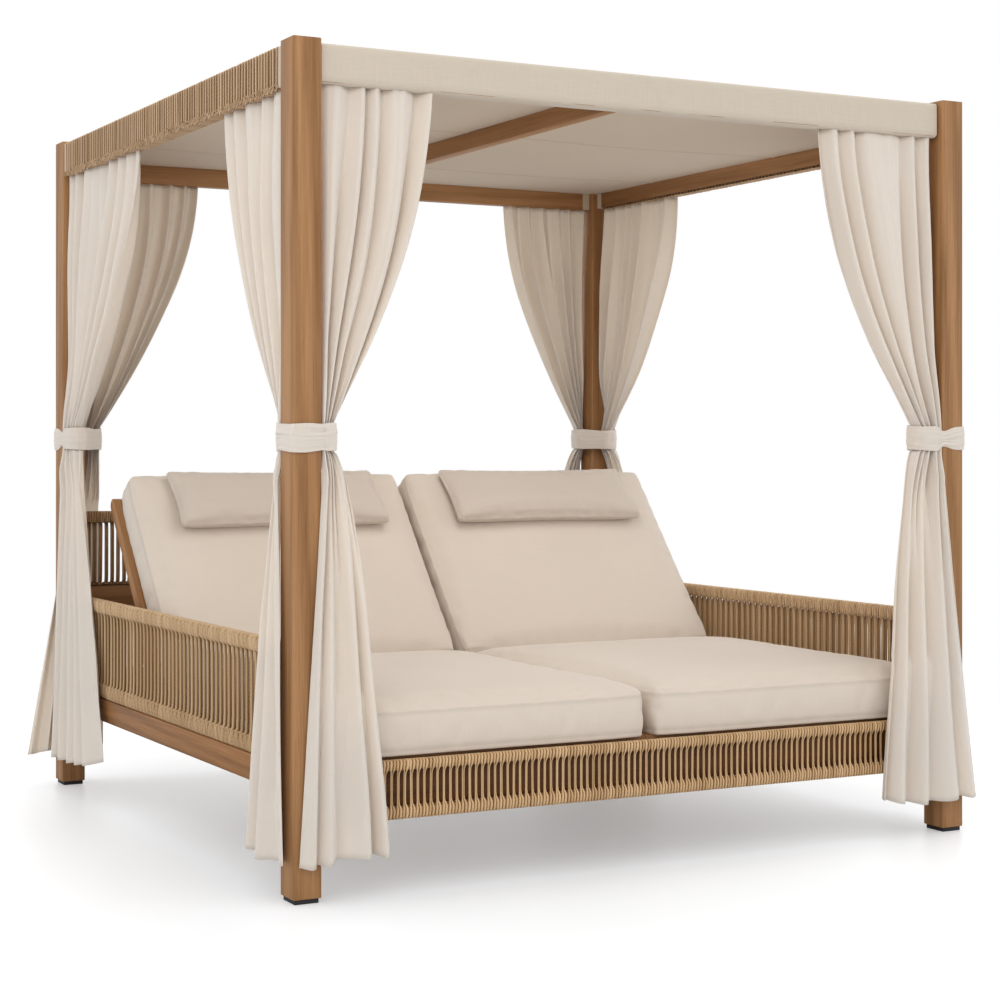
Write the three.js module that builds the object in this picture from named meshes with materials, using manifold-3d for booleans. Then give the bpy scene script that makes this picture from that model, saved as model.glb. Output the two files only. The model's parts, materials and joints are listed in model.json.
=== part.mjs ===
// Outdoor daybed with a canopy: four teak posts and a roof frame, a roped bed frame with two
// reclining lounges, and eight tied curtains. Millimetres, +Z up, front towards -Y, floor at zero.
import * as THREE from 'three';
import { mergeVertices } from 'three/addons/utils/BufferGeometryUtils.js';
import Module from 'manifold-3d';

const wasm = await Module();
wasm.setup();

// Overall frame
const width = 2076;
const depth = 2060;
const height = 2100;
const postWidth = 75;
const postDepth = 85;
const postChamfer = 3;
const glideHeight = 12;
const glideInset = 6;
const fit = 0.3;
const overrun = 5;

// Roof, with drops below the tops of the posts
const roofDrop = 8;
const beamThickness = 42;
const sideBeamDrop = 109;
const backBeamDrop = 117;
const frontBeamDrop = 103;
const rafterWidth = 38;
const rafterHeight = 50;
const rafterOffset = -110;
const liningDrop = 57;
const fabricThickness = 3;
const valanceSetback = 18;
const valanceDrop = 105;
const valanceEndGap = 7;
const strapWidth = 28;
const ropeThickness = 8;

// Bed frame
const sideInset = 8;
const endInset = 5;
const railBottom = 258;
const railTop = 326;
const railThickness = 34;
const ledgeWidth = 34;
const backLedgeTop = 285;
const frontRailThickness = 28;
const frontRailBottom = 196;
const centreRailThickness = 24;
const centreRailBottom = 225;
const midRailThickness = 28;
const midRailBottom = 576;
const midRailTop = 645;

// Rope panels
const sleeveThickness = 34;
const apronThickness = 30;
const sleeveChamfer = 7;
const sideSleeveHeight = 42;
const sideSleeveLowHeight = 44;
const sidePanelTop = 628;
const headSleeveHeight = 40;
const headPanelTop = 891;
const headFootHeight = 10;
const apronBottom = 182;
const apronTop = 331;
const apronSleeveHeight = 35;
const strandSize = 9;
const apronStrandPitch = 26.7;
const sideStrandPitch = 47.2;
const headStrandPitch = 43.8;

// Seat decks
const deckTop = 335;
const slatThickness = 20;
const deckSlatPitch = 97.5;
const deckSlatWidth = 70;
const deckSideGap = 12;
const deckCentreGap = 1;
const deckEndGap = 28;
const bearerThickness = 24;
const bearerHeight = 42;
const bearerOverlap = 1;
const outerBearerInset = 93;
const innerBearerAt = 80;
const earRadius = 20;
const hingeSetback = 855;
const axisDrop = 26;
const rodRadius = 8;

// Backrests, turned up from flat by the rest angle
const restAngle = 50;
const uprightAngle = 60;
const backrestLength = 812;
const sideRailThickness = 24;
const sideRailBelowAxis = 18;
const outerRailInset = 55;
const innerRailAt = 28;
const railTipRound = 20;
const backSlats = 8;
const backSlatWidth = 62;
const backSlatThickness = 14;
const backSlatStart = 45;
const backSlatEndGap = 10;
const battenWidth = 20;
const battenThickness = 5;
const battenInset = 55;

// Prop frames and their racks
const propLength = 320;
const propThickness = 18;
const propDepth = 16;
const propInset = 160;
const pivotRodRadius = 6;
const footRodRadius = 7;
const footRodReach = 45;
const rodEndGap = 2;
const rackThickness = 24;
const rackReach = 39;
const rackBottom = 262;
const rackClearance = 0.5;
const notchRadius = 7.5;
const notchLift = 3;
const notchAngles = [12, 24, 37, 50, 60];
const crossBottom = 258;
const crossTop = 286;
const crossThickness = 30;
const crossGap = 35;

// Cushions
const seatFrontGap = 28;
const seatOuterGap = 46;
const seatInner = 9;
const seatRim = 123;
const seatCrown = 30;
const backOuterGap = 58;
const backInner = 17;
const backRim = 116;
const backCrown = 14;
const cushionTuck = 7;
const cushionBulge = 5;
const mitreGap = 1.5;
const pillowEndGap = 110;
const pillowTopGap = 28;
const pillowWidth = 205;
const pillowRimLow = 26;
const pillowRimHigh = 56;
const pillowCrown = 28;
const cornerShare = 0.015;
const cushionSteps = [8, 8, 2];
const pillowSteps = [8, 4, 2];

// Curtains, each with its shares of the top width, of the lap of its hem past the post's inner face,
// of the width where it is tied, of the reach of its hem, and of how far outside the bed its far edge
// has come just below its tieback
const curtainTopWidth = 500;
const curtainLap = 100;
const curtainTopGap = 30;
const tieRise = 239;
const tieBand = 70;
const tieThickness = 4;
const tieClearance = 1.2;
const bundleWidth = 60;
const bundleInset = 7;
const hemHeight = 95;
const frontHemReach = 187;
const sideHemReach = 265;
const clothThickness = 7;
const clothThicknessGathered = 12;
const foldTop = 15;
const foldMiddle = 19;
const foldHem = 21;
const curtainClearance = 1;
const frontFolds = 3;
const sideFolds = 4;
const samplesPerFold = 4;
const swagPower = 1.73;
const flarePower = 0.74;
const upperShares = [0, 0.35, 0.7];
const lowerShares = [0.12, 0.45, 1];
const curtains = [
  {
    name: 'front_left_curtain', sx: -1, sy: -1, run: 'x',
    topShare: 0.58, lapShare: 0.57, bundleShare: 0.75, hemShare: 0.91, outShare: 0.3,
  },
  {
    name: 'front_right_curtain', sx: 1, sy: -1, run: 'x',
    topShare: 0.75, lapShare: 1.04, bundleShare: 1.3, hemShare: 1.27, outShare: 0.3,
  },
  {
    name: 'back_left_curtain', sx: -1, sy: 1, run: 'x',
    topShare: 0.78, lapShare: 1.25, bundleShare: 1, hemShare: 0.55, outShare: 1,
  },
  {
    name: 'back_right_curtain', sx: 1, sy: 1, run: 'x',
    topShare: 0.69, lapShare: 0.8, bundleShare: 0.8, hemShare: 1, outShare: 1,
  },
  {
    name: 'left_front_curtain', sx: -1, sy: -1, run: 'y',
    topShare: 0.9, lapShare: 0.15, bundleShare: 0.75, hemShare: 0.6, outShare: 0.3,
  },
  {
    name: 'left_back_curtain', sx: -1, sy: 1, run: 'y',
    topShare: 1.38, lapShare: 0.8, bundleShare: 1.4, hemShare: 1.96, outShare: 0.3,
  },
  {
    name: 'right_front_curtain', sx: 1, sy: -1, run: 'y',
    topShare: 0.96, lapShare: 0.6, bundleShare: 1, hemShare: 1, outShare: 0.3,
  },
  {
    name: 'right_back_curtain', sx: 1, sy: 1, run: 'y',
    topShare: 0.96, lapShare: 0.8, bundleShare: 1.2, hemShare: 1, outShare: 0.3,
  },
];

// Planes that several pieces share
const halfWidth = width / 2;
const halfDepth = depth / 2;
const postInnerX = halfWidth - postWidth;
const postInnerY = halfDepth - postDepth;
const roofTop = height - roofDrop;
const sideBeamBottom = height - sideBeamDrop;
const backBeamBottom = height - backBeamDrop;
const frontBeamBottom = height - frontBeamDrop;
const liningBottom = height - liningDrop;
const valanceBottom = height - valanceDrop;
const roofRopeBottom = sideBeamBottom - fit - ropeThickness;
const sideBeamOuter = halfWidth - ropeThickness - fit;
const sideBeamInner = sideBeamOuter - beamThickness;
const endBeamOuter = halfDepth - valanceSetback - fabricThickness - fit;
const endBeamInner = endBeamOuter - beamThickness;
const sideFrameOuter = halfWidth - sideInset;
const sideFrameInner = sideFrameOuter - railThickness;
const sideLedgeInner = sideFrameInner - ledgeWidth;
const endFrameOuter = halfDepth - endInset;
const backFrameInner = endFrameOuter - railThickness;
const backLedgeInner = backFrameInner - ledgeWidth;
const frontRailOuter = endFrameOuter - apronThickness - fit;
const frontRailInner = frontRailOuter - frontRailThickness;
const slatBottom = deckTop - slatThickness;
const hingeY = halfDepth - hingeSetback;
const outerBearerAt = sideFrameInner - outerBearerInset;
const outerRailAt = sideFrameInner - outerRailInset;
const seatFront = halfDepth - seatFrontGap;
const seatOuter = sideFrameInner - seatOuterGap;
const backOuter = sideFrameInner - backOuterGap;
const pillowLength = backOuter - backInner - pillowEndGap * 2;
const tieHeight = headPanelTop + tieRise;
const axisZ = deckTop - axisDrop;
const rackTop = axisZ - footRodRadius - rackClearance;
const restTurn = THREE.MathUtils.degToRad(restAngle);
const mitreSlope = 1 / Math.tan(THREE.MathUtils.degToRad((180 - uprightAngle) / 2));

// Finishes
const finishes = {
  teak: { color: 0xa87a52, roughness: 0.6, metalness: 0 },
  rope: { color: 0xbc9a6e, roughness: 0.85, metalness: 0 },
  canvas: { color: 0xd6c8b6, roughness: 0.9, metalness: 0 },
  voile: { color: 0xe8decf, roughness: 0.9, metalness: 0 },
  cushion: { color: 0xd4c6b3, roughness: 0.9, metalness: 0 },
  steel: { color: 0x8d8f92, roughness: 0.35, metalness: 1 },
  glide: { color: 0x1b1b1b, roughness: 0.7, metalness: 0 },
};

const daybed = new THREE.Group();
const mix = THREE.MathUtils.lerp;

function piece(name, geometry, finish, parent = daybed) {
  const mesh = new THREE.Mesh(geometry, new THREE.MeshStandardMaterial(finishes[finish]));
  mesh.name = name;
  parent.add(mesh);
  return mesh;
}

// Basic shapes
const sorted = (a, b) => (a < b ? [a, b] : [b, a]);

function block(xs, ys, zs) {
  const spans = [xs, ys, zs].map(([a, b]) => sorted(a, b));
  const size = spans.map(([a, b]) => b - a);
  const middle = spans.map(([a, b]) => (a + b) / 2);
  return new THREE.BoxGeometry(...size).translate(...middle);
}

function outline(points) {
  return new THREE.Shape(points.map(([a, b]) => new THREE.Vector2(a, b)));
}

function extrude(shape, length, curveSegments = 6) {
  return new THREE.ExtrudeGeometry(shape, { depth: length, bevelEnabled: false, curveSegments });
}

const axisX = new THREE.Vector3(1, 0, 0);
const axisY = new THREE.Vector3(0, 1, 0);
const axisUp = new THREE.Vector3(0, 0, 1);

// A shape drawn in Y and Z, extruded along X
function alongX(shape, xs, curveSegments) {
  const [low, high] = sorted(...xs);
  const turn = new THREE.Matrix4().makeBasis(axisY, axisUp, axisX);
  return extrude(shape, high - low, curveSegments).applyMatrix4(turn).translate(low, 0, 0);
}

// A shape drawn in X and Z, extruded along Y
function alongY(shape, ys, curveSegments) {
  const [low, high] = sorted(...ys);
  const turn = new THREE.Matrix4().makeBasis(axisX, axisUp, axisY.clone().negate());
  return extrude(shape, high - low, curveSegments).applyMatrix4(turn).translate(0, high, 0);
}

function alongZ(shape, zs, curveSegments) {
  const [low, high] = sorted(...zs);
  return extrude(shape, high - low, curveSegments).translate(0, 0, low);
}

function chamfered([aLow, aHigh], [bLow, bHigh], cut) {
  return outline([
    [aLow + cut, bLow], [aHigh - cut, bLow], [aHigh, bLow + cut], [aHigh, bHigh - cut],
    [aHigh - cut, bHigh], [aLow + cut, bHigh], [aLow, bHigh - cut], [aLow, bLow + cut],
  ]);
}

function roundHole(a, b, radius) {
  const path = new THREE.Path();
  path.absarc(a, b, radius, 0, Math.PI * 2, true);
  return path;
}

function disc(a, b, radius) {
  const shape = new THREE.Shape();
  shape.absarc(a, b, radius, 0, Math.PI * 2, false);
  return shape;
}

// Mirrors a geometry across the X or Y plane and keeps its faces pointing out
function mirrored(geometry, sx, sy) {
  const result = geometry.index ? geometry : mergeVertices(bare(geometry));
  result.scale(sx, sy, 1);
  if (sx * sy < 0) turnFaces(result);
  return result;
}

function turnFaces(geometry) {
  const order = geometry.index.array;
  for (let i = 0; i < order.length; i += 3) {
    [order[i], order[i + 1]] = [order[i + 1], order[i]];
  }
}

function bare(geometry) {
  const copy = geometry.clone();
  copy.deleteAttribute('normal');
  copy.deleteAttribute('uv');
  return copy;
}

// Joins and cuts
function solid(geometry) {
  const merged = mergeVertices(bare(geometry));
  return new wasm.Manifold(new wasm.Mesh({
    numProp: 3,
    vertProperties: new Float32Array(merged.attributes.position.array),
    triVerts: new Uint32Array(merged.index.array),
  }));
}

function meshOf(manifold) {
  const mesh = manifold.getMesh();
  const geometry = new THREE.BufferGeometry();
  geometry.setAttribute('position', new THREE.BufferAttribute(mesh.vertProperties, 3));
  geometry.setIndex(new THREE.BufferAttribute(mesh.triVerts, 1));
  return geometry;
}

function joined(geometries) {
  return meshOf(wasm.Manifold.union(geometries.map(solid)));
}

// Posts and glides
function addPosts() {
  for (const [row, sy] of [['front', -1], ['back', 1]]) {
    for (const [side, sx] of [['left', -1], ['right', 1]]) {
      const xs = sorted(sx * postInnerX, sx * halfWidth);
      const ys = sorted(sy * postInnerY, sy * halfDepth);
      const section = chamfered(xs, ys, postChamfer);
      piece(`${row}_${side}_post`, alongZ(section, [glideHeight + fit, height]), 'teak');
      const inset = ([low, high]) => [low + glideInset, high - glideInset];
      piece(`${row}_${side}_glide`, block(inset(xs), inset(ys), [0, glideHeight]), 'glide');
    }
  }
}

// Roof frame
function addRoofFrame() {
  const beamX = [-postInnerX + fit, postInnerX - fit];
  const beamY = [-postInnerY + fit, postInnerY - fit];
  const endTop = roofTop - fabricThickness - fit;
  const sideTop = roofTop - ropeThickness - fit;
  const frontY = [-endBeamOuter, -endBeamInner];
  piece('front_beam', block(beamX, frontY, [frontBeamBottom + fit, endTop]), 'teak');
  piece('back_beam', block(beamX, [endBeamInner, endBeamOuter], [backBeamBottom, endTop]), 'teak');
  for (const [side, sx] of [['left', -1], ['right', 1]]) {
    const xs = [sx * sideBeamInner, sx * sideBeamOuter];
    piece(`${side}_beam`, block(xs, beamY, [sideBeamBottom, sideTop]), 'teak');
  }
  const rafterX = [rafterOffset - rafterWidth / 2, rafterOffset + rafterWidth / 2];
  const rafterY = [-endBeamInner + fit, endBeamInner - fit];
  const rafterTop = liningBottom - fit;
  piece('roof_rafter', block(rafterX, rafterY, [rafterTop - rafterHeight, rafterTop]), 'teak');
}

// Canopy cloth: front valance turned under the front beam, top sheet, and back valance
function addCanopy() {
  const outer = endBeamOuter + fit + fabricThickness;
  const inner = endBeamOuter + fit;
  const under = frontBeamBottom - fabricThickness;
  const sheet = outline([
    [-endBeamInner, under], [-endBeamInner, frontBeamBottom], [-inner, frontBeamBottom],
    [-inner, roofTop - fabricThickness], [inner, roofTop - fabricThickness], [inner, valanceBottom],
    [outer, valanceBottom], [outer, roofTop], [-outer, roofTop], [-outer, under],
  ]);
  const reach = postInnerX - valanceEndGap;
  piece('canopy_cloth', alongX(sheet, [-reach, reach]), 'canvas');
}

// Ceiling lining with the tabs and straps that hold it to the beams beside each post
function addLining() {
  const edgeX = sideBeamInner - fit;
  const edgeY = endBeamInner - fit;
  const notchX = postInnerX - fit;
  const notchY = postInnerY - fit;
  const corners = [[1, 1], [-1, 1], [-1, -1], [1, -1]];
  const rim = corners.flatMap(([sx, sy]) => {
    const bend = [[sx * edgeX, sy * notchY], [sx * notchX, sy * notchY], [sx * notchX, sy * edgeY]];
    return sx * sy > 0 ? bend : bend.reverse();
  });
  const top = liningBottom + fabricThickness;
  const parts = [alongZ(outline(rim), [liningBottom, top])];
  const strapOuter = sideBeamOuter + fit + fabricThickness;
  const under = sideBeamBottom - fit - fabricThickness;
  const strapTop = roofTop - ropeThickness;
  const strap = outline([
    [edgeX - fabricThickness, under], [strapOuter, under], [strapOuter, strapTop],
    [strapOuter - fabricThickness, strapTop], [strapOuter - fabricThickness, under + fabricThickness],
    [edgeX, under + fabricThickness], [edgeX, top], [edgeX - fabricThickness, top],
  ]);
  for (const [sx, sy] of corners) {
    const strapY = [notchY - strapWidth + fit, notchY];
    parts.push(mirrored(alongY(strap, strapY), sx, sy));
    const tabX = [sx * (notchX - strapWidth + fit), sx * notchX];
    const tabY = [sy * (edgeY - fabricThickness), sy * edgeY];
    parts.push(block(tabX, tabY, [sy < 0 ? frontBeamBottom : backBeamBottom, top]));
  }
  piece('ceiling_lining', joined(parts), 'canvas');
}

// Rope wound over the side beams, as an outer face, a top and an underside
function addRoofRopes() {
  const inner = sideBeamOuter + fit;
  const over = roofTop - ropeThickness;
  const under = sideBeamBottom - fit;
  const profile = outline([
    [sideBeamInner, roofRopeBottom], [halfWidth, roofRopeBottom], [halfWidth, roofTop],
    [sideBeamInner, roofTop], [sideBeamInner, over], [inner, over], [inner, under], [sideBeamInner, under],
  ]);
  const reach = postInnerY - strapWidth - fit;
  piece('left_roof_rope', mirrored(alongY(profile, [-reach, reach]), -1, 1), 'rope');
  piece('right_roof_rope', alongY(profile, [-reach, reach]), 'rope');
}

// Bed rails
function addRails() {
  const ys = [-postInnerY + fit, postInnerY - fit];
  const xs = [-postInnerX + fit, postInnerX - fit];
  const stepped = (outer, inner, ledge, ledgeTop) => outline([
    [outer, railBottom], [outer, railTop], [inner, railTop], [inner, ledgeTop], [ledge, ledgeTop],
    [ledge, railBottom],
  ]);
  const side = stepped(sideFrameOuter, sideFrameInner, sideLedgeInner, slatBottom - fit);
  piece('left_bed_rail', mirrored(alongY(side, ys), -1, 1), 'teak');
  piece('right_bed_rail', alongY(side, ys), 'teak');
  const back = stepped(endFrameOuter, backFrameInner, backLedgeInner, backLedgeTop);
  piece('back_bed_rail', alongX(back, xs), 'teak');
  const frontY = [-frontRailOuter, -frontRailInner];
  piece('front_bed_rail', block(xs, frontY, [frontRailBottom, railTop]), 'teak');
  const centreX = [-centreRailThickness / 2, centreRailThickness / 2];
  const centreY = [-frontRailInner + fit, backLedgeInner - fit];
  piece('centre_bed_rail', block(centreX, centreY, [centreRailBottom, slatBottom - fit]), 'teak');
  const midY = [endFrameOuter - midRailThickness, endFrameOuter];
  piece('head_rail', block(xs, midY, [midRailBottom, midRailTop]), 'teak');
}

// A rope panel: two wrapped rails and the strands between them
function ropePanel({ run, span, across, zs, lowHeight, topHeight, strandPitch }) {
  const [low, high] = zs;
  const [from, to] = span;
  const lay = run === 'x' ? alongX : alongY;
  const sleeve = ([bottom, top]) => {
    const cut = Math.min(sleeveChamfer, (top - bottom) / 4);
    return lay(chamfered(sorted(...across), [bottom, top], cut), span);
  };
  const lowerTop = low + lowHeight;
  const upperBottom = high - topHeight;
  const parts = [sleeve([low, lowerTop]), sleeve([upperBottom, high])];
  const middle = (across[0] + across[1]) / 2;
  const strands = Math.round((to - from) / strandPitch);
  const pitch = (to - from) / strands;
  for (let i = 0; i < strands; i += 1) {
    const at = from + pitch * (i + 0.5);
    const long = [at - strandSize / 2, at + strandSize / 2];
    const thick = [middle - strandSize / 2, middle + strandSize / 2];
    const tall = [lowerTop - lowHeight / 2, upperBottom + topHeight / 2];
    parts.push(run === 'x' ? block(long, thick, tall) : block(thick, long, tall));
  }
  return joined(parts);
}

function addRopePanels() {
  const xs = [-postInnerX + fit, postInnerX - fit];
  const ys = [-postInnerY + fit, postInnerY - fit];
  const sideInner = sideFrameOuter - sleeveThickness;
  for (const [side, sx] of [['left', -1], ['right', 1]]) {
    piece(`${side}_rope_panel`, ropePanel({
      run: 'y', span: ys, across: [sx * sideInner, sx * sideFrameOuter], zs: [railTop + fit, sidePanelTop],
      lowHeight: sideSleeveLowHeight, topHeight: sideSleeveHeight, strandPitch: sideStrandPitch,
    }), 'rope');
  }
  const backInner = endFrameOuter - sleeveThickness;
  piece('back_rope_panel', ropePanel({
    run: 'x', span: xs, across: [backInner, endFrameOuter], zs: [railTop + fit, midRailBottom - fit],
    lowHeight: sideSleeveLowHeight, topHeight: sideSleeveHeight, strandPitch: headStrandPitch,
  }), 'rope');
  piece('head_rope_panel', ropePanel({
    run: 'x', span: xs, across: [backInner, endFrameOuter], zs: [midRailTop + fit, headPanelTop],
    lowHeight: headFootHeight, topHeight: headSleeveHeight, strandPitch: headStrandPitch,
  }), 'rope');
  piece('front_rope_apron', ropePanel({
    run: 'x', span: xs, across: [-endFrameOuter, -endFrameOuter + apronThickness],
    zs: [apronBottom, apronTop],
    lowHeight: apronSleeveHeight, topHeight: apronSleeveHeight, strandPitch: apronStrandPitch,
  }), 'rope');
}

// Seat deck: slats on two bearers whose ends are the ears of the backrest hinge
function seatDeck(sx) {
  const start = -frontRailInner + fit;
  const end = hingeY - deckEndGap;
  const gaps = Math.round((end - start - deckSlatWidth) / deckSlatPitch);
  const pitch = (end - start - deckSlatWidth) / gaps;
  const parts = [];
  for (let i = 0; i <= gaps; i += 1) {
    const at = start + pitch * i;
    const reach = (at < -postInnerY ? postInnerX : sideFrameInner) - deckSideGap;
    parts.push(block([sx * deckCentreGap, sx * reach], [at, at + deckSlatWidth], [slatBottom, deckTop]));
  }
  const bearer = new THREE.Shape();
  bearer.moveTo(start, slatBottom - bearerHeight);
  bearer.lineTo(hingeY - earRadius, slatBottom - bearerHeight);
  bearer.lineTo(hingeY, axisZ - earRadius);
  bearer.absarc(hingeY, axisZ, earRadius, -Math.PI / 2, Math.PI / 2, false);
  bearer.lineTo(end - bearerOverlap, axisZ + earRadius);
  bearer.lineTo(end - bearerOverlap, slatBottom + bearerOverlap);
  bearer.lineTo(start, slatBottom + bearerOverlap);
  bearer.holes.push(roundHole(hingeY, axisZ, rodRadius + fit));
  for (const at of [outerBearerAt, innerBearerAt]) {
    const centre = sx * at;
    parts.push(alongX(bearer, [centre - bearerThickness / 2, centre + bearerThickness / 2]));
  }
  return joined(parts);
}

// Backrest parts lie along +Y from the hinge axis, with +Z out of the slats' face
function sideRail(at) {
  const front = axisDrop;
  const back = -sideRailBelowAxis;
  const middle = (front + back) / 2;
  const half = (front - back) / 2;
  const shape = new THREE.Shape();
  shape.moveTo(0, back);
  const tip = backrestLength - railTipRound;
  shape.lineTo(tip, back);
  shape.absarc(tip, back + railTipRound, railTipRound, -Math.PI / 2, 0, false);
  shape.absarc(tip, front - railTipRound, railTipRound, 0, Math.PI / 2, false);
  shape.lineTo(0, front);
  shape.absarc(0, middle, half, Math.PI / 2, Math.PI * 1.5, false);
  shape.holes.push(roundHole(0, 0, rodRadius + fit));
  shape.holes.push(roundHole(propLength, 0, pivotRodRadius + fit));
  return alongX(shape, [at - sideRailThickness / 2, at + sideRailThickness / 2]);
}

function backSlatPanel(sx) {
  const half = sideRailThickness / 2;
  const outer = outerRailAt - half - fit;
  const inner = innerRailAt + half + fit;
  const end = backrestLength - backSlatEndGap;
  const pitch = (end - backSlatStart - backSlatWidth) / (backSlats - 1);
  const under = axisDrop - backSlatThickness;
  const parts = [];
  for (let i = 0; i < backSlats; i += 1) {
    const at = backSlatStart + pitch * i;
    parts.push(block([sx * inner, sx * outer], [at, at + backSlatWidth], [under, axisDrop]));
  }
  for (const edge of [outer - battenInset, inner + battenInset]) {
    const centre = sx * edge;
    const xs = [centre - battenWidth / 2, centre + battenWidth / 2];
    parts.push(block(xs, [backSlatStart, end], [under - battenThickness, under + bearerOverlap]));
  }
  return joined(parts);
}

function rod(xs, y, z, radius) {
  return alongX(disc(y, z, radius), xs);
}

// Prop frame: two arms, the rod they hang from and the rod that stands on the racks
function propFrame(sx) {
  const half = sideRailThickness / 2;
  const armAt = [outerRailAt - half - propInset, innerRailAt + half + propInset];
  const arm = new THREE.Shape();
  arm.absarc(0, 0, propDepth / 2, Math.PI / 2, Math.PI * 1.5, false);
  arm.absarc(propLength, 0, propDepth / 2, -Math.PI / 2, Math.PI / 2, false);
  const parts = armAt.map(at => alongX(arm, [sx * at - propThickness / 2, sx * at + propThickness / 2]));
  const pivotX = [sx * (outerRailAt + half - rodEndGap), sx * (innerRailAt - half + rodEndGap)];
  parts.push(rod(pivotX, 0, 0, pivotRodRadius));
  const footX = [sx * (armAt[0] + footRodReach), sx * (armAt[1] - footRodReach)];
  parts.push(rod(footX, propLength, 0, footRodRadius));
  return joined(parts);
}

// Rack frame: two notched battens and the cross member that carries their front ends
function rackFrame(sx) {
  const half = sideRailThickness / 2;
  const crossStart = hingeY + crossGap;
  const crossEnd = crossStart + crossThickness;
  const batten = new THREE.Shape();
  batten.moveTo(crossStart, rackBottom);
  batten.lineTo(backLedgeInner - fit, rackBottom);
  batten.lineTo(backLedgeInner - fit, rackTop);
  const dip = Math.asin(notchLift / notchRadius);
  for (const angle of notchAngles) {
    const at = hingeY + 2 * propLength * Math.cos(THREE.MathUtils.degToRad(angle));
    batten.absarc(at, rackTop + notchLift, notchRadius, -dip, -Math.PI + dip, true);
  }
  batten.lineTo(crossStart, rackTop);
  const parts = [outerRailAt - half - propInset + rackReach, innerRailAt + half + propInset - rackReach]
    .map(at => alongX(batten, [sx * at - rackThickness / 2, sx * at + rackThickness / 2], 3));
  const crossX = [sx * (sideLedgeInner - fit), sx * (centreRailThickness / 2 + fit)];
  parts.push(block(crossX, [crossStart, crossEnd], [crossBottom, crossTop]));
  return joined(parts);
}

// How far the crown has risen at a place on a cushion, from 0 at its rim to 1 in the middle
function crownShare(u, v) {
  return Math.sqrt((1 - u ** 4) * (1 - v ** 4));
}

// A point of a cushion that starts at Y zero, from box coordinates of -1 to 1. The sides draw in
// between the corners, and the start is mitred or rounded.
function cushionPoint({ size, low, high, crown, start }, px, py, level) {
  const [wide, long] = size;
  const u = Math.sin(px * Math.PI / 2);
  const v = Math.sin(py * Math.PI / 2);
  const rise = crownShare(u, v);
  const bottom = low * (1 - rise);
  const top = high + crown * rise;
  const z = bottom + (top - bottom) * (level + 1) / 2;
  const bulge = cushionBulge * (1 - level ** 2);
  const side = wide / 2 - cushionTuck * (1 - v ** 2) + bulge - wide * cornerShare * v ** 8;
  const end = long - cushionTuck * (1 - u ** 2) + bulge - wide * cornerShare * u ** 8;
  const from = start(u, z, bulge);
  return [side * u, from + (end - from) * (v + 1) / 2, z];
}

function cushion(spec) {
  const geometry = bare(new THREE.BoxGeometry(2, 2, 2, ...spec.steps));
  const place = geometry.attributes.position;
  for (let i = 0; i < place.count; i += 1) {
    place.setXYZ(i, ...cushionPoint(spec, place.getX(i), place.getY(i), place.getZ(i)));
  }
  return mergeVertices(geometry);
}

// The middle line of a cushion's face, from one end to the other, as places along and heights
function middleLine(spec, level) {
  const count = spec.steps[1];
  return Array.from({ length: count + 1 }, (_, i) => {
    const [, along, height] = cushionPoint(spec, 0, 2 * i / count - 1, level);
    return { along, height };
  });
}

function heightAt(line, along) {
  const next = line.findIndex(point => point.along >= along);
  if (next <= 0) return (next < 0 ? line.at(-1) : line[0]).height;
  const [before, after] = [line[next - 1], line[next]];
  return mix(before.height, after.height, (along - before.along) / (after.along - before.along));
}

const mitredStart = drop => (u, z) => (z + drop) * mitreSlope + mitreGap;
const roundStart = (u, z, bulge) => cushionTuck * (1 - u ** 2) - bulge;

const seatShape = {
  size: [seatOuter - seatInner, seatFront + hingeY], low: 0, high: seatRim, crown: seatCrown,
  start: mitredStart(axisDrop + fit), steps: cushionSteps,
};
const backShape = {
  size: [backOuter - backInner, backrestLength], low: 0, high: backRim, crown: backCrown,
  start: mitredStart(axisDrop + fit), steps: cushionSteps,
};
const pillowShape = {
  size: [pillowLength, pillowWidth], low: pillowRimLow, high: pillowRimHigh, crown: pillowCrown,
  start: roundStart, steps: pillowSteps,
};

function seatCushion(sx) {
  return mirrored(cushion(seatShape), 1, -1)
    .translate(sx * (seatOuter + seatInner) / 2, hingeY, deckTop + fit);
}

function backCushion(sx) {
  return cushion(backShape).translate(sx * (backOuter + backInner) / 2, 0, axisDrop + fit);
}

// The head pillow lies on the crowned face near the backrest's top
function headPillow(sx) {
  const from = backrestLength - pillowTopGap - pillowWidth;
  const face = middleLine(backShape, 1);
  const under = middleLine(pillowShape, -1);
  const places = [...under.map(({ along }) => along + from), ...face.map(({ along }) => along)];
  const lifts = places
    .filter(at => at >= under[0].along + from && at <= face.at(-1).along)
    .map(at => heightAt(face, at) - heightAt(under, at - from));
  const lift = axisDrop + fit + Math.max(...lifts) + fit;
  return cushion(pillowShape).translate(sx * (backOuter + backInner) / 2, from, lift);
}

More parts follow.
